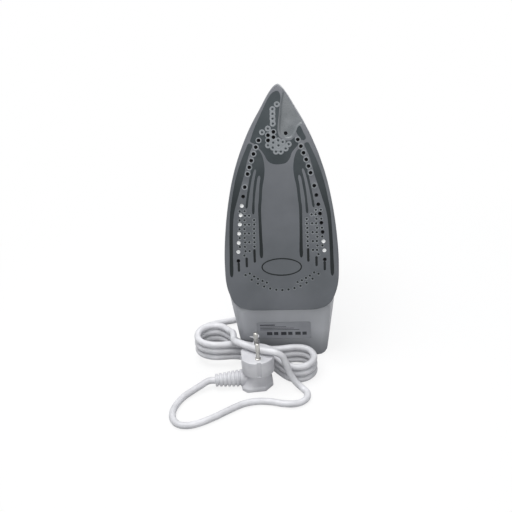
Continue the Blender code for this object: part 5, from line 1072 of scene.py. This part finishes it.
def make_mouldings(made):
    """Each moulding is the node's own shape, its sharp edges rounded along the runs that have room."""
    for node, name, body, radius in MOULDINGS:
        finish = NODE_FINISH[node]
        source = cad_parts[node]
        shape = bmesh.new()
        shape.from_mesh(source.data)
        shape.transform(source.matrix_world)
        bmesh.ops.remove_doubles(shape, verts=shape.verts, dist=NODE_WELD)
        bmesh.ops.dissolve_limit(shape, angle_limit=LEVEL, verts=shape.verts, edges=shape.edges)
        bmesh.ops.dissolve_degenerate(shape, dist=NODE_WELD, edges=shape.edges)
        shape.edges.index_update()
        runs = {e for e in shape.edges
                if sharp(e) and min(n.calc_length() for n in neighbours(e)) > ROOM * radius * MM}
        # A run that would stop at an edge left sharp is left out as a whole
        cut_short = runs
        while cut_short:
            cut_short = {e for e in runs if any(sharp(n) and n not in runs for n in neighbours(e))}
            runs -= cut_short
        bmesh.ops.bevel(shape, geom=sorted(runs, key=lambda e: e.index), offset=radius * MM,
                        offset_type="OFFSET", segments=3, profile=0.5, affect="EDGES",
                        clamp_overlap=True)
        shape.verts.index_update()
        surface = [v.co.copy() for v in shape.verts], [[v.index for v in f.verts] for f in shape.faces]
        shape.free()
        shown = piece(name, surface, body, made[finish], (node,), smooth=32)
        shown.modifiers.new("flat_faces_stay_flat", "WEIGHTED_NORMAL").keep_sharp = True


def make_springs(made):
    """The two return springs, each as a piece with a mesh of its own, shaped as its node."""
    for node, name, joint in (("spray_spring", "spray_return_spring", "spray_press"),
                              ("steam_burst_spring", "burst_return_spring", "burst_press")):
        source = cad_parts[node]
        verts = [source.matrix_world @ v.co for v in source.data.vertices]
        surface = verts, [list(p.vertices) for p in source.data.polygons]
        spring = piece(name, surface, "iron", made["steel"], (node,))
        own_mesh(spring)


# Blocks from the label's upper left corner: across, down, width and height in mm
LABEL_BLOCKS = ((3, 3.0, 16, 1.5), (3, 5.9, 28, 0.7), (3, 7.9, 36, 0.7), (3, 9.9, 42, 0.7)) + tuple(
    (10 + 7.6 * k, 13.4, 4.6 if k % 2 else 5.8, 4.4) for k in range(6))
# A block's rings from under the label to its top, as (inset, height above the label)
BLOCK_RINGS = ((0.0, -0.05), (0.0, 0.02), (0.1, 0.04))


def make_label_print(made):
    """Plain blocks where the label has its text and marks, a hair proud of it."""
    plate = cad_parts["rating_plate"]
    facing = plate.matrix_world.to_3x3()
    face = max(plate.data.polygons, key=lambda p: p.area if (facing @ p.normal).y < -0.3 else 0)
    out = (facing @ face.normal).normalized()
    across = Vector((1, 0, 0))
    up = out.cross(across).normalized()
    corners = [plate.matrix_world @ v.co for v in plate.data.vertices]
    left = min(c.dot(across) for c in corners)
    top, front = (max(c.dot(way) for c in corners) for way in (up, out))
    blocks = []
    for x, y, wide, tall in LABEL_BLOCKS:
        rings = []
        for inset, proud in BLOCK_RINGS:
            x0, x1 = left + (x + inset) * MM, left + (x + wide - inset) * MM
            y0, y1 = top - (y + tall - inset) * MM, top - (y + inset) * MM
            rings.append([across * a + up * b + out * (front + proud * MM)
                          for a, b in ((x0, y0), (x1, y0), (x1, y1), (x0, y1))])
        blocks.append(skin(rings))
    piece("rating_plate_print", joined(blocks), "iron", made["label_ink"])


def dress_nodes(made):
    """Every listed node gets its finish, those that a moulding stands for too."""
    for name, kind in NODE_FINISH.items():
        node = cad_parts[name]
        node.data.materials.clear()
        node.data.materials.append(made[kind])


place_camera()
made = make_materials()
studio()
lead, lead_length = make_lead(made["sheath"])
tie = make_tie(made["sheath"])
plug_pieces = make_plug(made)
make_sole(made)
make_mouldings(made)
make_springs(made)
make_label_print(made)
dress_nodes(made)
